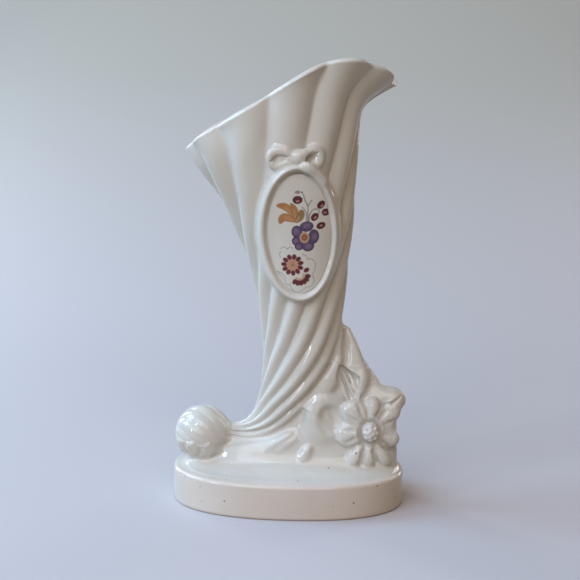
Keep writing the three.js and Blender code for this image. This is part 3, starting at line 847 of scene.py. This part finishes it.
def side_blossom():
    """A soft hollow with folds round it."""
    pebble("side_blossom", on_bank(17.0, 42.0, 0.0), (9.8, 10.6, 4.2), 4.4, turn=0.3)
    relief.carve(pebble_shape(low_block, on_bank(19.6, 43.4, 4.8), (6.2, 7.4, 4.8), turn=0.2), 2.4)
    fold("side_blossom", on_bank(9.0, 48.0, 0.4), on_bank(16.0, 33.4, 1.4), 4.4, 4.4, 2.6)
    fold("side_blossom", on_bank(12.0, 43.6, 0.6), on_bank(22.8, 34.6, 1.0), 3.4, 4.0, 2.2)
    fold("side_blossom", on_bank(12.8, 51.0, 0.4), on_bank(24.0, 51.8, 0.4), 4.6, 4.4, 2.6)
    fold("side_blossom", on_bank(15.0, 48.0, -0.4), on_bank(20.6, 38.8, -0.8), 2.4, 3.4, 2.0)


def flower_petals():
    """Petals that fan out from a low pad."""
    pebble("flower_petal_1", on_bank(38.0, 36.8, -2.0), (12.4, 13.0, 4.4), 2.4, facing=FLOWER_FACING)
    for name, x, z, half_width, half_length, degrees, proud in PETALS:
        fan_x, fan_z = (np.array([x, z]) - FLOWER_CENTRE) * PETAL_FAN
        facing = FLOWER_FACING + np.array([fan_x, 0, fan_z])
        halves = (half_width, half_length, PETAL_HALF_THICKNESS)
        pebble(name, on_bank(x, z, proud), halves, PETAL_REACH, facing=facing, turn=math.radians(degrees))


def petal_grooves():
    """Two shallow grooves along each petal."""
    for _, x, z, *_ in PETALS:
        for lean in GROOVE_LEANS:
            way = np.array([x, z]) - FLOWER_CENTRE
            way = way + np.array([-way[1], way[0]]) * lean
            start, stop = FLOWER_CENTRE + way * GROOVE_START, FLOWER_CENTRE + way * GROOVE_STOP
            hollow(relief.front(*start, 0.5), relief.front(*stop, 0.5), 1.7, 1.6, 1.4)


def flower_heart():
    """A beaded dome in a ring of shadow."""
    shadow = FLOWER_HEART + FLOWER_FACING * 1.2
    relief.carve(pebble_shape(low_block, shadow, (6.3, 6.6, 3.6), FLOWER_FACING), 0.9)
    dome = FLOWER_HEART + FLOWER_FACING * 0.9
    pebble("flower_centre", dome, DOME_HALVES, 0.5, facing=FLOWER_FACING)
    for ring, count in BEAD_RINGS:
        depth = DOME_HALVES[2] * math.sqrt(1 - (ring / BEADS_END) ** 2) - BEAD_SINK
        for turn in full_turn(count):
            bead = dome + np.array([ring * math.cos(turn), -depth, ring * 1.08 * math.sin(turn)])
            pebble("flower_centre", bead, BEAD_HALVES, 0.7, margin=2.0)


def bud():
    """A round bud with a crease."""
    pebble("bud_right", (48.8, -3.0, 51.4), (6.4, 5.0, 5.6), 4.0, turn=0.5)
    hollow(relief.front(47.6, 49.6, 0.4), relief.front(52.4, 53.2, 0.4), 1.3, 2.2, 0.8)


def ground_leaves():
    """Small leaves low down, hardly raised."""
    fold("ground_leaf_1", relief.front(9.6, 28.6, -0.8), relief.front(5.6, 22.0, -0.8), 3.8, 3.6, 2.6)
    fold("ground_leaf_2", relief.front(1.0, 34.4, -0.7), relief.front(-10.2, 26.8, -0.8), 3.4, 3.4, 2.4)
    fold("ground_leaf_2", relief.front(3.0, 32.2, -0.8), relief.front(-5.4, 26.4, -0.8), 2.8, 3.0, 2.0)


def ball_way(across, rise):
    """A direction from the tail's middle towards the viewer's side."""
    return np.array([across, -math.sqrt(1 - across**2 - rise**2), rise])


def tail_leaves():
    """Three leaves that lie against the ball."""
    for number, across in enumerate((-0.7, -0.3, 0.26)):
        base, tip = ball_way(across, -0.16), ball_way(across * 1.1, -0.62)
        start, stop = (TAIL_CENTRE + way * (TAIL_RADIUS + 0.2) for way in (base, tip))
        leaf(f"tail_leaf_{number + 1}", start, stop, 5.6, 1.7, 1.6, facing=base)


tall_leaves()
pointed_leaf()
side_blossom()
flower_petals()
petal_grooves()
flower_heart()
bud()
ground_leaves()
tail_leaves()


def sample(field, places):
    """Field values between cells, for places given in cells."""
    low = np.clip(np.floor(places).astype(int), 0, np.array(field.shape) - 2)
    share = places - low
    total = 0
    for corner in np.ndindex(2, 2, 2):
        index = low + corner
        weight = np.prod(np.where(np.array(corner) == 1, share, 1 - share), axis=1)
        total = total + weight * field[index[:, 0], index[:, 1], index[:, 2]]
    return total


def sheet_solid(points, normals, faces, thickness):
    """Closed thin body from an open sheet: the sheet, its inner copy, and walls round its edges."""
    used, compact = np.unique(faces, return_inverse=True)
    faces = compact.reshape(-1, 4)
    points, normals = points[used], normals[used]
    count = len(points)
    starts, stops = faces.ravel(), np.roll(faces, -1, axis=1).ravel()
    keys = starts.astype(np.int64) * count + stops
    back = stops.astype(np.int64) * count + starts
    rim = ~np.isin(keys, back)
    a, b = starts[rim], stops[rim]
    walls = np.stack([b, a, a + count, b + count], -1)
    quads = np.concatenate([faces, faces[:, ::-1] + count, walls])
    both_points = np.concatenate([points, points - normals * thickness])
    return used, both_points, quads, np.concatenate([normals, -normals])


NO_TRIANGLES = np.zeros((0, 3), int)
SKIN_THICKNESS = 0.3
LIFT_SHOWN = 0.03
DIVE = 0.07
DIVE_STEEPNESS = 1.4
SIDE_CELLS = (1.5, 2.5)
NORMALS_AGREE = 0.8


def unit_rows(vectors):
    return vectors / (np.linalg.norm(vectors, axis=1)[:, None] + 1e-9)


def blended_skin(relief):
    """Places in cells, faces and normals of a relief's skin. A normal comes from the field's slope, or from
    the faces round it where the two disagree, as they do in a sharp crease."""
    grid = vdb.FloatGrid()
    grid.background = BAND * relief.block.cell
    grid.copyFromArray(np.ascontiguousarray(relief.field))
    points, quads = grid.convertToQuads(0.0)
    cells, quads = points.astype(float), quads.astype(np.int64)
    normals = unit_rows(np.stack([sample(part, cells) for part in np.gradient(relief.field)], -1))
    a, b, c, d = (cells[quads[:, n]] for n in range(4))
    face_normals = np.cross(c - a, d - b)
    if np.median(np.einsum("ij,ij->i", face_normals, normals[quads[:, 0]])) < 0:
        quads, face_normals = quads[:, ::-1], -face_normals
    gathered = np.zeros_like(cells)
    for n in range(4):
        np.add.at(gathered, quads[:, n], face_normals)
    gathered = unit_rows(gathered)
    astray = np.einsum("ij,ij->i", gathered, normals) < NORMALS_AGREE
    normals[astray] = gathered[astray]
    return cells, quads, normals


def relief_pieces(relief, carried):
    """Cuts a blended skin into its pieces; where a fillet runs out, it dives under what carries it."""
    cells, quads, normals = blended_skin(relief)
    lift = sample(carried, cells)
    low, high = SIDE_CELLS[0], np.array(relief.block.shape) - SIDE_CELLS[1]
    inside = np.all((cells > low) & (cells < high), axis=1)
    quads = quads[np.any(lift[quads] > LIFT_SHOWN, axis=1) & np.all(inside[quads], axis=1)]
    sunk = np.clip(DIVE - lift, 0, DIVE * 2) * DIVE_STEEPNESS
    places = relief.block.low + cells * relief.block.cell - normals * sunk[:, None]
    middles = np.rint(cells[quads].mean(1)).astype(int)
    owner = np.maximum(relief.owner[middles[:, 0], middles[:, 1], middles[:, 2]], 0)
    for number, name in enumerate(relief.names):
        mine = quads[owner == number]
        _, points, faces, point_normals = sheet_solid(places, normals, mine, SKIN_THICKNESS)
        make_skin(name, points, faces, NO_TRIANGLES, glaze, "glaze", point_normals)


relief_pieces(relief, np.minimum(horn_field, np.minimum(tail_field, plinth_field)))

# Medallion and bow on the front of the horn

FRAME_HEIGHTS = [1.2, 3.0, 4.1, 4.5, 4.3, 3.6, 2.7, 2.0, 1.6, 1.5]
FRAME_PROFILE = natural_spline(FRAME_HEIGHTS)
FRAME_EDGE_RISE = 0.5
FRAME_EDGE_SLOPE = 2.6


def medallion_axes(x, z):
    """Places seen from the front, along the medallion's own two axes from its middle."""
    return turned(x - MEDALLION_CENTRE[0], z - MEDALLION_CENTRE[1], -MEDALLION_LEAN)


def oval_measure(u, v, half_u, half_v):
    """1 on the oval, less inside, and how far outside it a place lies, in millimetres."""
    share = np.sqrt((u / half_u) ** 2 + (v / half_v) ** 2)
    slope = np.sqrt((u / half_u**2) ** 2 + (v / half_v**2) ** 2) + 1e-9
    return share, share * (share - 1) / slope


def frame_rise(x, z):
    """How far the moulded frame stands out of the horn, with its crest near the outer edge."""
    u, v = medallion_axes(x, z)
    outer, beyond = oval_measure(u, v, MEDALLION_WIDTH / 2, MEDALLION_HEIGHT / 2)
    inner_u, inner_v = MEDALLION_WIDTH / 2 - FRAME_WIDTH, MEDALLION_HEIGHT / 2 - FRAME_END_WIDTH
    inner, _ = oval_measure(u - PANEL_SHIFT, v, inner_u, inner_v)
    band = np.where(inner > 1, (1 - outer) / np.maximum(1 - outer + inner - 1, 1e-6), 1.0)
    rise = FRAME_PROFILE(np.clip(band, 0, 1) * (len(FRAME_HEIGHTS) - 1))
    return np.where(outer < 1, rise, FRAME_EDGE_RISE - FRAME_EDGE_SLOPE * beyond)


high_block = Block((-22.0, -42.0, 94.0), (160, 130, 275), 0.3)
horn_high = solid_field(high_block, *horn_solid)
high = Relief(high_block, horn_high)


def frame_shape():
    """The moulded frame, with its back sunk in the horn."""
    x, z = np.meshgrid(high_block.axes[0], high_block.axes[2], indexing="ij")
    smooth_front = -horn_front(x, z)
    front = smooth_front + frame_rise(x, z)
    slope_x, slope_z = np.gradient(front, high_block.cell)
    steep = np.sqrt(1 + slope_x**2 + slope_z**2)
    depth = -high_block.axes[1][None, :, None]
    distance = (depth - front[:, None, :]) / steep[:, None, :]
    return WHOLE, np.maximum(distance, smooth_front[:, None, :] - FRAME_SINK - depth)


def front_of(x, z, proud):
    """A place on the horn or the frame, seen from the front."""
    x, z = np.asarray(x, float), np.asarray(z, float)
    rise = np.maximum(frame_rise(x, z), 0)
    return np.stack([x, horn_front(x, z) - rise - proud, z], -1)


RIBBON_MARGIN = 4
RIBBON_JOIN = 0.4


def band_shape(block, path, radii, flatness):
    """A ribbon along a path: joined capsules, pressed flat towards the viewer."""
    reach = radii.max() + RIBBON_MARGIN
    window = block.window(path.min(0) - reach, path.max(0) + reach)
    nearest = None
    for a, b, ra, rb in zip(path, path[1:], radii, radii[1:]):
        step = b - a
        offsets = block.offsets(window, a)
        t = np.clip(dot(offsets, step) / step.dot(step), 0, 1)
        gap = [offset - t * part for offset, part in zip(offsets, step)]
        distance = np.sqrt(gap[0] ** 2 + (gap[1] / flatness) ** 2 + gap[2] ** 2) - (ra + (rb - ra) * t)
        nearest = distance if nearest is None else smooth_min(nearest, distance, RIBBON_JOIN)
    return window, nearest * (0.5 + 0.5 * flatness)


def smooth_path(places, count, closed=False):
    places = np.asarray(places, float)
    if closed:
        places = np.concatenate([places, places[:1]])
    share = np.linspace(0, len(places) - 1, count)
    return np.stack([natural_spline(places[:, n])(share) for n in range(places.shape[1])], -1)


# Middle lines of the bow, seen from the front: places sideways and upward.
BOW_LOOPS = {
    "bow_loop_left": [
        (-1.2, 166.4), (-5.0, 168.6), (-8.8, 169.4), (-11.4, 168.0),
        (-11.7, 165.0), (-9.4, 162.8), (-5.2, 163.4),
    ],
    "bow_loop_right": [
        (1.8, 166.8), (4.8, 169.4), (7.8, 170.2), (10.0, 168.4),
        (10.0, 165.2), (7.8, 163.2), (4.4, 163.4),
    ],
}
BOW_RIBBONS = {
    "ribbon_left": [(2.6, 168.4), (-2.2, 165.6), (-6.4, 162.4), (-10.6, 158.8)],
    "ribbon_right": [(0.8, 165.8), (4.8, 162.8), (8.8, 160.2), (12.2, 156.4)],
}
BOW_KNOT = (0.4, 166.9)
LOOP_RADIUS = 1.6
LOOP_SWELL = 0.3
LOOP_FLATNESS = 0.75
RIBBON_RADIUS = 1.9
RIBBON_TAPER = 0.3
RIBBON_SINK = 2.4
RIBBON_FLATNESS = 0.7
LOOP_RECESSES = [((-10.6, 165.2), (-4.6, 167.0)), ((4.4, 165.4), (8.8, 168.6))]


def tied_bow():
    """Two loops, two ribbons that sink into the frame at their ends, and a knot."""
    for name, outline in BOW_LOOPS.items():
        path = smooth_path(outline, 26, closed=True)
        radii = LOOP_RADIUS + LOOP_SWELL * np.sin(np.linspace(0, math.pi, len(path)))
        high.add(name, band_shape(high_block, front_of(*path.T, 1.4), radii, LOOP_FLATNESS), 2.0)
    for name, outline in BOW_RIBBONS.items():
        path = smooth_path(outline, 14)
        share = np.linspace(0, 1, len(path))
        course = front_of(*path.T, RIBBON_RADIUS - RIBBON_SINK * share)
        radii = RIBBON_RADIUS - RIBBON_TAPER * share
        high.add(name, band_shape(high_block, course, radii, RIBBON_FLATNESS), 1.8)
    high.add("bow_knot", pebble_shape(high_block, front_of(*BOW_KNOT, 1.7), (2.9, 2.6, 2.1)), 1.4)
    for start, stop in LOOP_RECESSES:
        high.carve(leaf_shape(high_block, front_of(*start, 2.6), front_of(*stop, 2.6), OUT, 3.0, 4.0), 1.0)


high.add("medallion_frame", frame_shape(), 1.5)
tied_bow()
relief_pieces(high, horn_high)

# Printed panel inside the frame

PANEL_CELL = 0.18


def panel_sheet():
    """The panel's open sheet, as a disc of square cells pressed to an oval."""
    half_u = MEDALLION_WIDTH / 2 - FRAME_WIDTH + PANEL_TUCK
    half_v = MEDALLION_HEIGHT / 2 - FRAME_END_WIDTH + PANEL_TUCK
    steps_u, steps_v = int(2 * half_u / PANEL_CELL), int(2 * half_v / PANEL_CELL)
    u, v = np.meshgrid(np.linspace(-1, 1, steps_u), np.linspace(-1, 1, steps_v), indexing="ij")
    spread = np.hypot(u, v).clip(1e-9)
    longest = np.maximum(np.abs(u), np.abs(v)) + 1e-9
    u, v = u * longest / spread * half_u, v * longest / spread * half_v
    across, up = turned(u + PANEL_SHIFT, v, MEDALLION_LEAN)
    x, z = MEDALLION_CENTRE[0] + across, MEDALLION_CENTRE[1] + up
    points = np.stack([x, horn_front(x, z) - PANEL_PROUD, z], -1)
    normals = np.cross(np.gradient(points, axis=0), np.gradient(points, axis=1))
    normals = normals / np.linalg.norm(normals, axis=-1)[..., None]
    if normals[..., 1].mean() > 0:
        normals = -normals
    quads = ring_faces(steps_u, steps_v, joined=False)
    return points.reshape(-1, 3), normals.reshape(-1, 3), quads[:, ::-1]


INK_EDGE = 0.16
FAR_OFF = 99.0


class Print:
    """Flat inks on the panel: each mark is laid over the earlier ones. Places are across and up from the
    medallion's middle, in millimetres."""

    def __init__(self, u, v):
        self.u, self.v = u, v
        self.colour = np.ones((len(u), 3))

    def lay(self, ink, distance, softness=INK_EDGE, strength=1.0):
        share = strength * (1 - smoothstep(distance, -softness, softness))[:, None]
        self.colour = self.colour * (1 - share) + np.asarray(ink) * share

    def spot_distance(self, place, half_u, half_v, turn=0.0):
        """Distance to an oval spot, in millimetres."""
        du, dv = self.u - place[0], self.v - place[1]
        _, beyond = oval_measure(*turned(du, dv, -turn), half_u, half_v)
        return np.where((np.abs(du) < 1e-6) & (np.abs(dv) < 1e-6), -half_v, beyond)

    def brush_distance(self, path, halves):
        """Distance to a brush mark along a path that has a half width for each step."""
        nearest = np.full(len(self.u), FAR_OFF)
        for a, b, half in zip(path, path[1:], halves):
            step = b - a
            t = ((self.u - a[0]) * step[0] + (self.v - a[1]) * step[1]) / (step.dot(step) + 1e-9)
            t = np.clip(t, 0, 1)
            gap = np.hypot(self.u - a[0] - t * step[0], self.v - a[1] - t * step[1])
            nearest = np.minimum(nearest, gap - half)
        return nearest

    def spot(self, ink, place, half_u, half_v, turn=0.0, softness=INK_EDGE, strength=1.0):
        self.lay(ink, self.spot_distance(place, half_u, half_v, turn), softness, strength)

    def stroke(self, ink, places, start_width, end_width, softness=INK_EDGE, strength=1.0):
        """A brush stroke that tapers evenly."""
        path = smooth_path(places, 4 * len(places))
        halves = np.linspace(start_width, end_width, len(path)) / 2
        self.lay(ink, self.brush_distance(path, halves), softness, strength)

    def blade(self, ink, places, width, softness=INK_EDGE, strength=1.0):
        """A leaf along a curved middle line, fullest a little before its middle."""
        path = smooth_path(places, 16)
        share = np.linspace(0.0, 1.0, len(path))
        halves = width / 2 * np.sin(math.pi * np.clip(share, 0.03, 0.97) ** 1.15) ** 0.7
        self.lay(ink, self.brush_distance(path, halves), softness, strength)


GREY_STEM = (0.27, 0.2, 0.22)
AMBER = (0.62, 0.27, 0.07)
AMBER_PALE = (0.78, 0.46, 0.2)
AMBER_DARK = (0.34, 0.14, 0.05)
OLIVE = (0.42, 0.26, 0.07)
BERRY = (0.16, 0.006, 0.012)
BERRY_EDGE = (0.03, 0.004, 0.008)
PINK = (0.75, 0.35, 0.38)
PURPLE = (0.15, 0.085, 0.22)
PURPLE_PALE = (0.30, 0.2, 0.38)
PURPLE_DARK = (0.06, 0.03, 0.09)
CREAM = (0.72, 0.5, 0.36)
ORANGE = (0.6, 0.22, 0.06)
BROWN = (0.12, 0.04, 0.02)
RED = (0.24, 0.008, 0.012)
RED_DARK = (0.07, 0.004, 0.006)
SALMON = (0.8, 0.4, 0.26)
PINK_EDGE = (0.8, 0.5, 0.48)
CREAM_PALE = (0.78, 0.64, 0.46)
TAN = (0.55, 0.36, 0.16)
GREY_LINE = (0.36, 0.37, 0.42)


def stems(art):
    routes = [
        [(4.1, 5.5), (4.2, 9.2), (4.3, 12.8)],
        [(4.3, 12.8), (2.8, 16.1), (2.6, 17.6), (2.0, 18.8)],
        [(4.3, 12.8), (5.3, 14.2), (6.2, 15.4)],
        [(3.4, 6.0), (3.4, 9.8), (1.6, 12.5)],
        [(4.5, 5.4), (4.8, 8.2), (5.6, 10.0), (6.9, 11.1), (8.5, 11.1), (9.2, 10.0), (8.9, 8.8)],
    ]
    for route in routes:
        art.stroke(GREY_STEM, route, 0.55, 0.4, strength=0.8)


def grey_leaves(art):
    """Thin grey outlines of leaves round the two small flowers."""
    outlines = [
        [(-8.5, -6.6), (-7.2, -5.8), (-5.6, -6.8)],
        [(-8.7, -8.0), (-9.2, -9.3), (-8.6, -10.8)],
        [(-5.6, -6.8), (-4.2, -5.8), (-3.0, -6.8)],
        [(1.2, -9.4), (2.8, -10.2), (3.6, -12.2)],
        [(3.6, -11.4), (5.8, -12.2), (7.0, -14.6), (6.3, -17.4), (5.4, -19.0)],
        [(5.4, -19.6), (6.2, -22.0), (4.8, -24.4), (2.6, -25.0)],
        [(-10.4, -17.4), (-8.8, -19.6), (-6.7, -21.9)],
        [(-10.4, -17.4), (-8.4, -18.2), (-6.4, -20.8)],
        [(-4.9, -24.0), (-3.4, -26.4), (-1.6, -27.2), (0.4, -26.4), (2.2, -25.0)],
        [(-7.2, -22.4), (-5.8, -23.6), (-4.6, -23.0)],
    ]
    for outline in outlines:
        art.stroke(GREY_LINE, outline, 0.42, 0.3, strength=0.75)


def amber_leaf(art):
    lobes = [
        ([(-1.6, 6.8), (-3.9, 11.0), (-6.3, 13.0), (-9.3, 13.5)], 2.9, AMBER),
        ([(-1.2, 6.4), (-1.3, 9.4), (-2.1, 11.8), (-3.2, 13.9)], 2.7, AMBER),
        ([(-0.8, 5.4), (-4.0, 7.4), (-6.9, 7.9), (-8.4, 5.6)], 3.4, AMBER),
        ([(-0.6, 5.5), (0.8, 8.2), (1.5, 10.7)], 3.0, OLIVE),
    ]
    for route, width, ink in lobes:
        inner = [(a * 0.94 - 0.35, b * 0.97 + 0.25) for a, b in route[:-1]]
        art.blade(AMBER_DARK, route, width + 0.4, strength=0.75)
        art.blade(ink, route, width - 0.25)
        art.blade(AMBER_PALE, inner, width * 0.4, 0.4, 0.8)
        art.stroke(AMBER_DARK, route, 0.3, 0.15, strength=0.6)


def berries(art):
    for u, v, half_u, half_v, turn, light in (
        (-0.3, 15.8, 2.25, 1.85, 0.0, (0.0, -0.6)),
        (10.2, 13.0, 2.1, 1.55, 0.8, (0.4, -0.6)),
        (12.2, 9.4, 1.8, 1.65, 0.2, (-0.3, -0.2)),
        (7.2, 7.6, 2.0, 1.55, 0.8, (0.2, -0.3)),
        (9.9, 3.4, 2.1, 1.55, 0.35, (0.1, 0.0)),
    ):
        art.spot(BERRY_EDGE, (u, v), half_u, half_v, turn)
        art.spot(BERRY, (u, v), half_u - 0.35, half_v - 0.35, turn, 0.2)
        art.spot(PINK, (u + light[0], v + light[1]), 0.75, 0.42, turn, 0.25)
    art.spot(BERRY, (-0.2, 19.3), 1.25, 0.75, strength=0.7)
    art.spot(PINK, (-0.3, 19.3), 0.6, 0.35)
    art.spot(BROWN, (1.7, 19.2), 0.35, 0.35)


def around(centre, radius, turn):
    return (centre[0] + radius * math.cos(turn), centre[1] + radius * math.sin(turn))


def big_flower(art):
    centre = np.array([2.3, -1.6])
    petals = [
        (3.4, 3.4, 2.9, 2.1, 0.1),
        (-1.0, 1.1, 2.2, 2.7, 0.15),
        (-1.2, -3.1, 2.0, 1.9, -0.2),
        (-0.2, -5.5, 1.8, 1.7, 0.3),
        (3.8, -5.4, 2.6, 2.5, 0.1),
        (6.5, -1.4, 2.2, 3.1, -0.1),
    ]
    for u, v, half_u, half_v, turn in petals:
        place = np.array([u, v])
        way = place - centre
        art.spot(PURPLE_DARK, place, half_u + 0.25, half_v + 0.25, turn)
        art.spot(PURPLE, place, half_u - 0.15, half_v - 0.15, turn, 0.25)
        art.spot(PURPLE_PALE, place + way * 0.08, half_u * 0.55, half_v * 0.5, turn, 0.6, 0.8)
        for lean in (-0.35, 0.0, 0.35):
            vein = [centre + way * 0.45, centre + np.array(turned(*way, lean)) * 1.15]
            art.stroke(PURPLE_DARK, vein, 0.22, 0.12, strength=0.6)
    art.spot(CREAM, centre, 2.2, 2.6, softness=0.3)
    art.spot(ORANGE, centre, 1.5, 1.7, softness=0.35)
    for turn in full_turn(5):
        art.spot(BROWN, (centre[0] + 0.9 * math.cos(turn), centre[1] + math.sin(turn)), 0.3, 0.3)


def petal_ring(art, centre, turns, radius):
    """Short red petals that stand apart, with a pink edge."""
    for turn in turns:
        art.spot(PINK_EDGE, around(centre, radius, turn), 1.5, 1.15, turn, 0.3, 0.8)
    for turn in turns:
        art.spot(RED_DARK, around(centre, radius, turn), 1.32, 0.96, turn)
        art.spot(RED, around(centre, radius - 0.25, turn), 0.95, 0.6, turn, 0.3)


def small_flowers(art):
    """One whole flower with a salmon disc, and one half hidden below it."""
    lower = (-0.5, -18.9)
    petal_ring(art, lower, np.radians([-124, -102, -80, -58, -36, -12, 32]), 3.9)
    arc = [around(lower, 2.1, turn) for turn in np.radians([-130, -95, -60, -25, 10])]
    art.stroke(CREAM_PALE, arc, 1.1, 0.9, 0.3, 0.8)
    art.stroke(TAN, arc, 0.3, 0.3, 0.2, 0.7)
    centre = (-3.5, -14.2)
    petal_ring(art, centre, full_turn(11) + 0.2, 3.75)
    art.spot(SALMON, centre, 2.55, 2.55, softness=0.35)
    art.spot(CREAM, centre, 1.5, 1.5, softness=0.4, strength=0.7)
    art.lay(ORANGE, np.abs(art.spot_distance(centre, 1.25, 1.25)) - 0.14, 0.2, 0.7)
    art.spot(TAN, centre, 0.75, 0.75, softness=0.25)
    art.spot(BROWN, centre, 0.3, 0.3, softness=0.2)


def floral_print(points):
    art = Print(*medallion_axes(points[:, 0], points[:, 2]))
    for motif in (grey_leaves, stems, amber_leaf, berries, big_flower, small_flowers):
        motif(art)
    return art.colour


panel_points, panel_normals, panel_quads = panel_sheet()
used, solid_points, solid_quads, solid_normals = sheet_solid(
    panel_points, panel_normals, panel_quads, PANEL_THICKNESS
)
inks = floral_print(panel_points[used])
make_skin(
    "medallion_panel", solid_points, solid_quads, NO_TRIANGLES,
    panel_glaze, "panel_glaze", solid_normals, np.concatenate([inks, np.ones_like(inks)]),
)

# Stage, lights and camera, in metres and watts

MIDDLE = (0, 0, 0.1)
IN_FRONT = (0, -0.5, 0.1)

# Lamps: name, place, what it points at, width and height, power, colour.
LAMPS = [
    ("window", (-1.4, 0.1, 1.05), MIDDLE, (0.9, 0.9), 20, (0.46, 0.73, 1.0)),
    ("sky", (-0.95, -1.05, 1.3), MIDDLE, (1.4, 1.4), 14.5, (0.48, 0.72, 1.0)),
    ("room", (-0.1, -1.4, 1.25), MIDDLE, (1.8, 1.2), 13, (1.0, 0.88, 0.77)),
    ("gleam", (-1.25, -1.05, 0.55), MIDDLE, (0.16, 0.5), 4.2, (0.85, 0.92, 1.0)),
    ("left_rim", (-0.5, 0.5, 0.38), IN_FRONT, (0.12, 0.5), 1.4, (0.9, 0.96, 1.0)),
    ("right_rim", (0.5, 0.5, 0.38), IN_FRONT, (0.08, 0.5), 0.6, (1.0, 0.93, 0.85)),
]
ROOM_COLOUR = (1.0, 0.67, 0.41)
ROOM_STRENGTH = 0.14

FLOOR_FRONT = -2.5
FLOOR_END = 0.25
BEND_RADIUS = 0.5
BEND_STEPS = 25
WALL_TOP = 2.5
SWEEP_HALF_WIDTH = 3.0
PAPER_TONES = [(0.0, (0.62, 0.6, 0.65)), (0.35, (0.55, 0.53, 0.49)), (1.0, (0.52, 0.49, 0.4))]
PAPER_TONES_END = 0.5
PAPER_IN_LIGHT = (0.28, 0.215, 0.14)

VIEW_PIXELS = 580
FOCAL_PIXELS = 1406
OBJECT_OFFSET_PIXELS = 3.3
SENSOR_WIDTH = 36
CAMERA_PLACE = (0, -0.65, 0.228)
CAMERA_DOWN = 11
CAMERA_ROLL = 1.53


def area_light(name, place, target, size, power, colour):
    data = bpy.data.lights.new(name, "AREA")
    data.shape = "RECTANGLE"
    data.size, data.size_y = size
    data.energy = power
    data.color = colour
    lamp = add_to_scene(name, data)
    lamp.location = place
    lamp.rotation_euler = (Vector(target) - Vector(place)).to_track_quat("-Z", "Y").to_euler()


def room_light():
    world = bpy.data.worlds.new("room")
    world.use_nodes = True
    background = world.node_tree.nodes["Background"]
    background.inputs["Color"].default_value = (*ROOM_COLOUR, 1)
    background.inputs["Strength"].default_value = ROOM_STRENGTH
    bpy.context.scene.world = world


def sweep():
    """Floor that curves up into a wall behind the object."""
    profile = [(FLOOR_FRONT, 0.0), (FLOOR_END, 0.0)]
    for turn in np.linspace(0, math.pi / 2, BEND_STEPS)[1:]:
        profile.append((FLOOR_END + BEND_RADIUS * math.sin(turn), BEND_RADIUS * (1 - math.cos(turn))))
    profile.append((FLOOR_END + BEND_RADIUS, WALL_TOP))
    points = [(x, y, z) for y, z in profile for x in (-SWEEP_HALF_WIDTH, SWEEP_HALF_WIDTH)]
    faces = [(2 * i, 2 * i + 1, 2 * i + 3, 2 * i + 2) for i in range(len(profile) - 1)]
    return add_to_scene("sweep", smooth_mesh("sweep", points, faces))


def paper_material():
    """Pale where the camera, a reflection or glass shows it, and browner in the light it sends back."""
    shading = Shading("paper")
    tone = shading.ramp(shading.mapped(shading.height(), 0, PAPER_TONES_END, 0, 1), PAPER_TONES)
    rays = shading.node("LightPath").outputs
    shown = rays["Is Camera Ray"]
    for kind in ("Is Glossy Ray", "Is Transmission Ray"):
        shown = shading.maths("MAXIMUM", shown, rays[kind])
    paper = shading.mixed(shown, PAPER_IN_LIGHT, tone)
    shading.feed(shading.shader, {"Base Color": paper, "Roughness": 0.7})
    return shading.material


def photo_camera():
    """Camera at the photograph's angle, in front of the vase and tilted down to it."""
    data = bpy.data.cameras.new("camera")
    data.sensor_width = SENSOR_WIDTH
    data.lens = SENSOR_WIDTH * FOCAL_PIXELS / VIEW_PIXELS
    data.shift_x = -OBJECT_OFFSET_PIXELS / VIEW_PIXELS
    data.clip_start = 0.01
    camera = add_to_scene("camera", data)
    camera.matrix_world = (
        Matrix.Translation(CAMERA_PLACE)
        @ Matrix.Rotation(math.radians(90 - CAMERA_DOWN), 4, "X")
        @ Matrix.Rotation(math.radians(CAMERA_ROLL), 4, "Z")
    )
    return camera


for lamp in LAMPS:
    area_light(*lamp)
room_light()
backdrop = sweep()
backdrop.data.materials.append(paper_material())
bpy.context.scene.camera = photo_camera()

bpy.context.scene.view_settings.view_transform = "Standard"
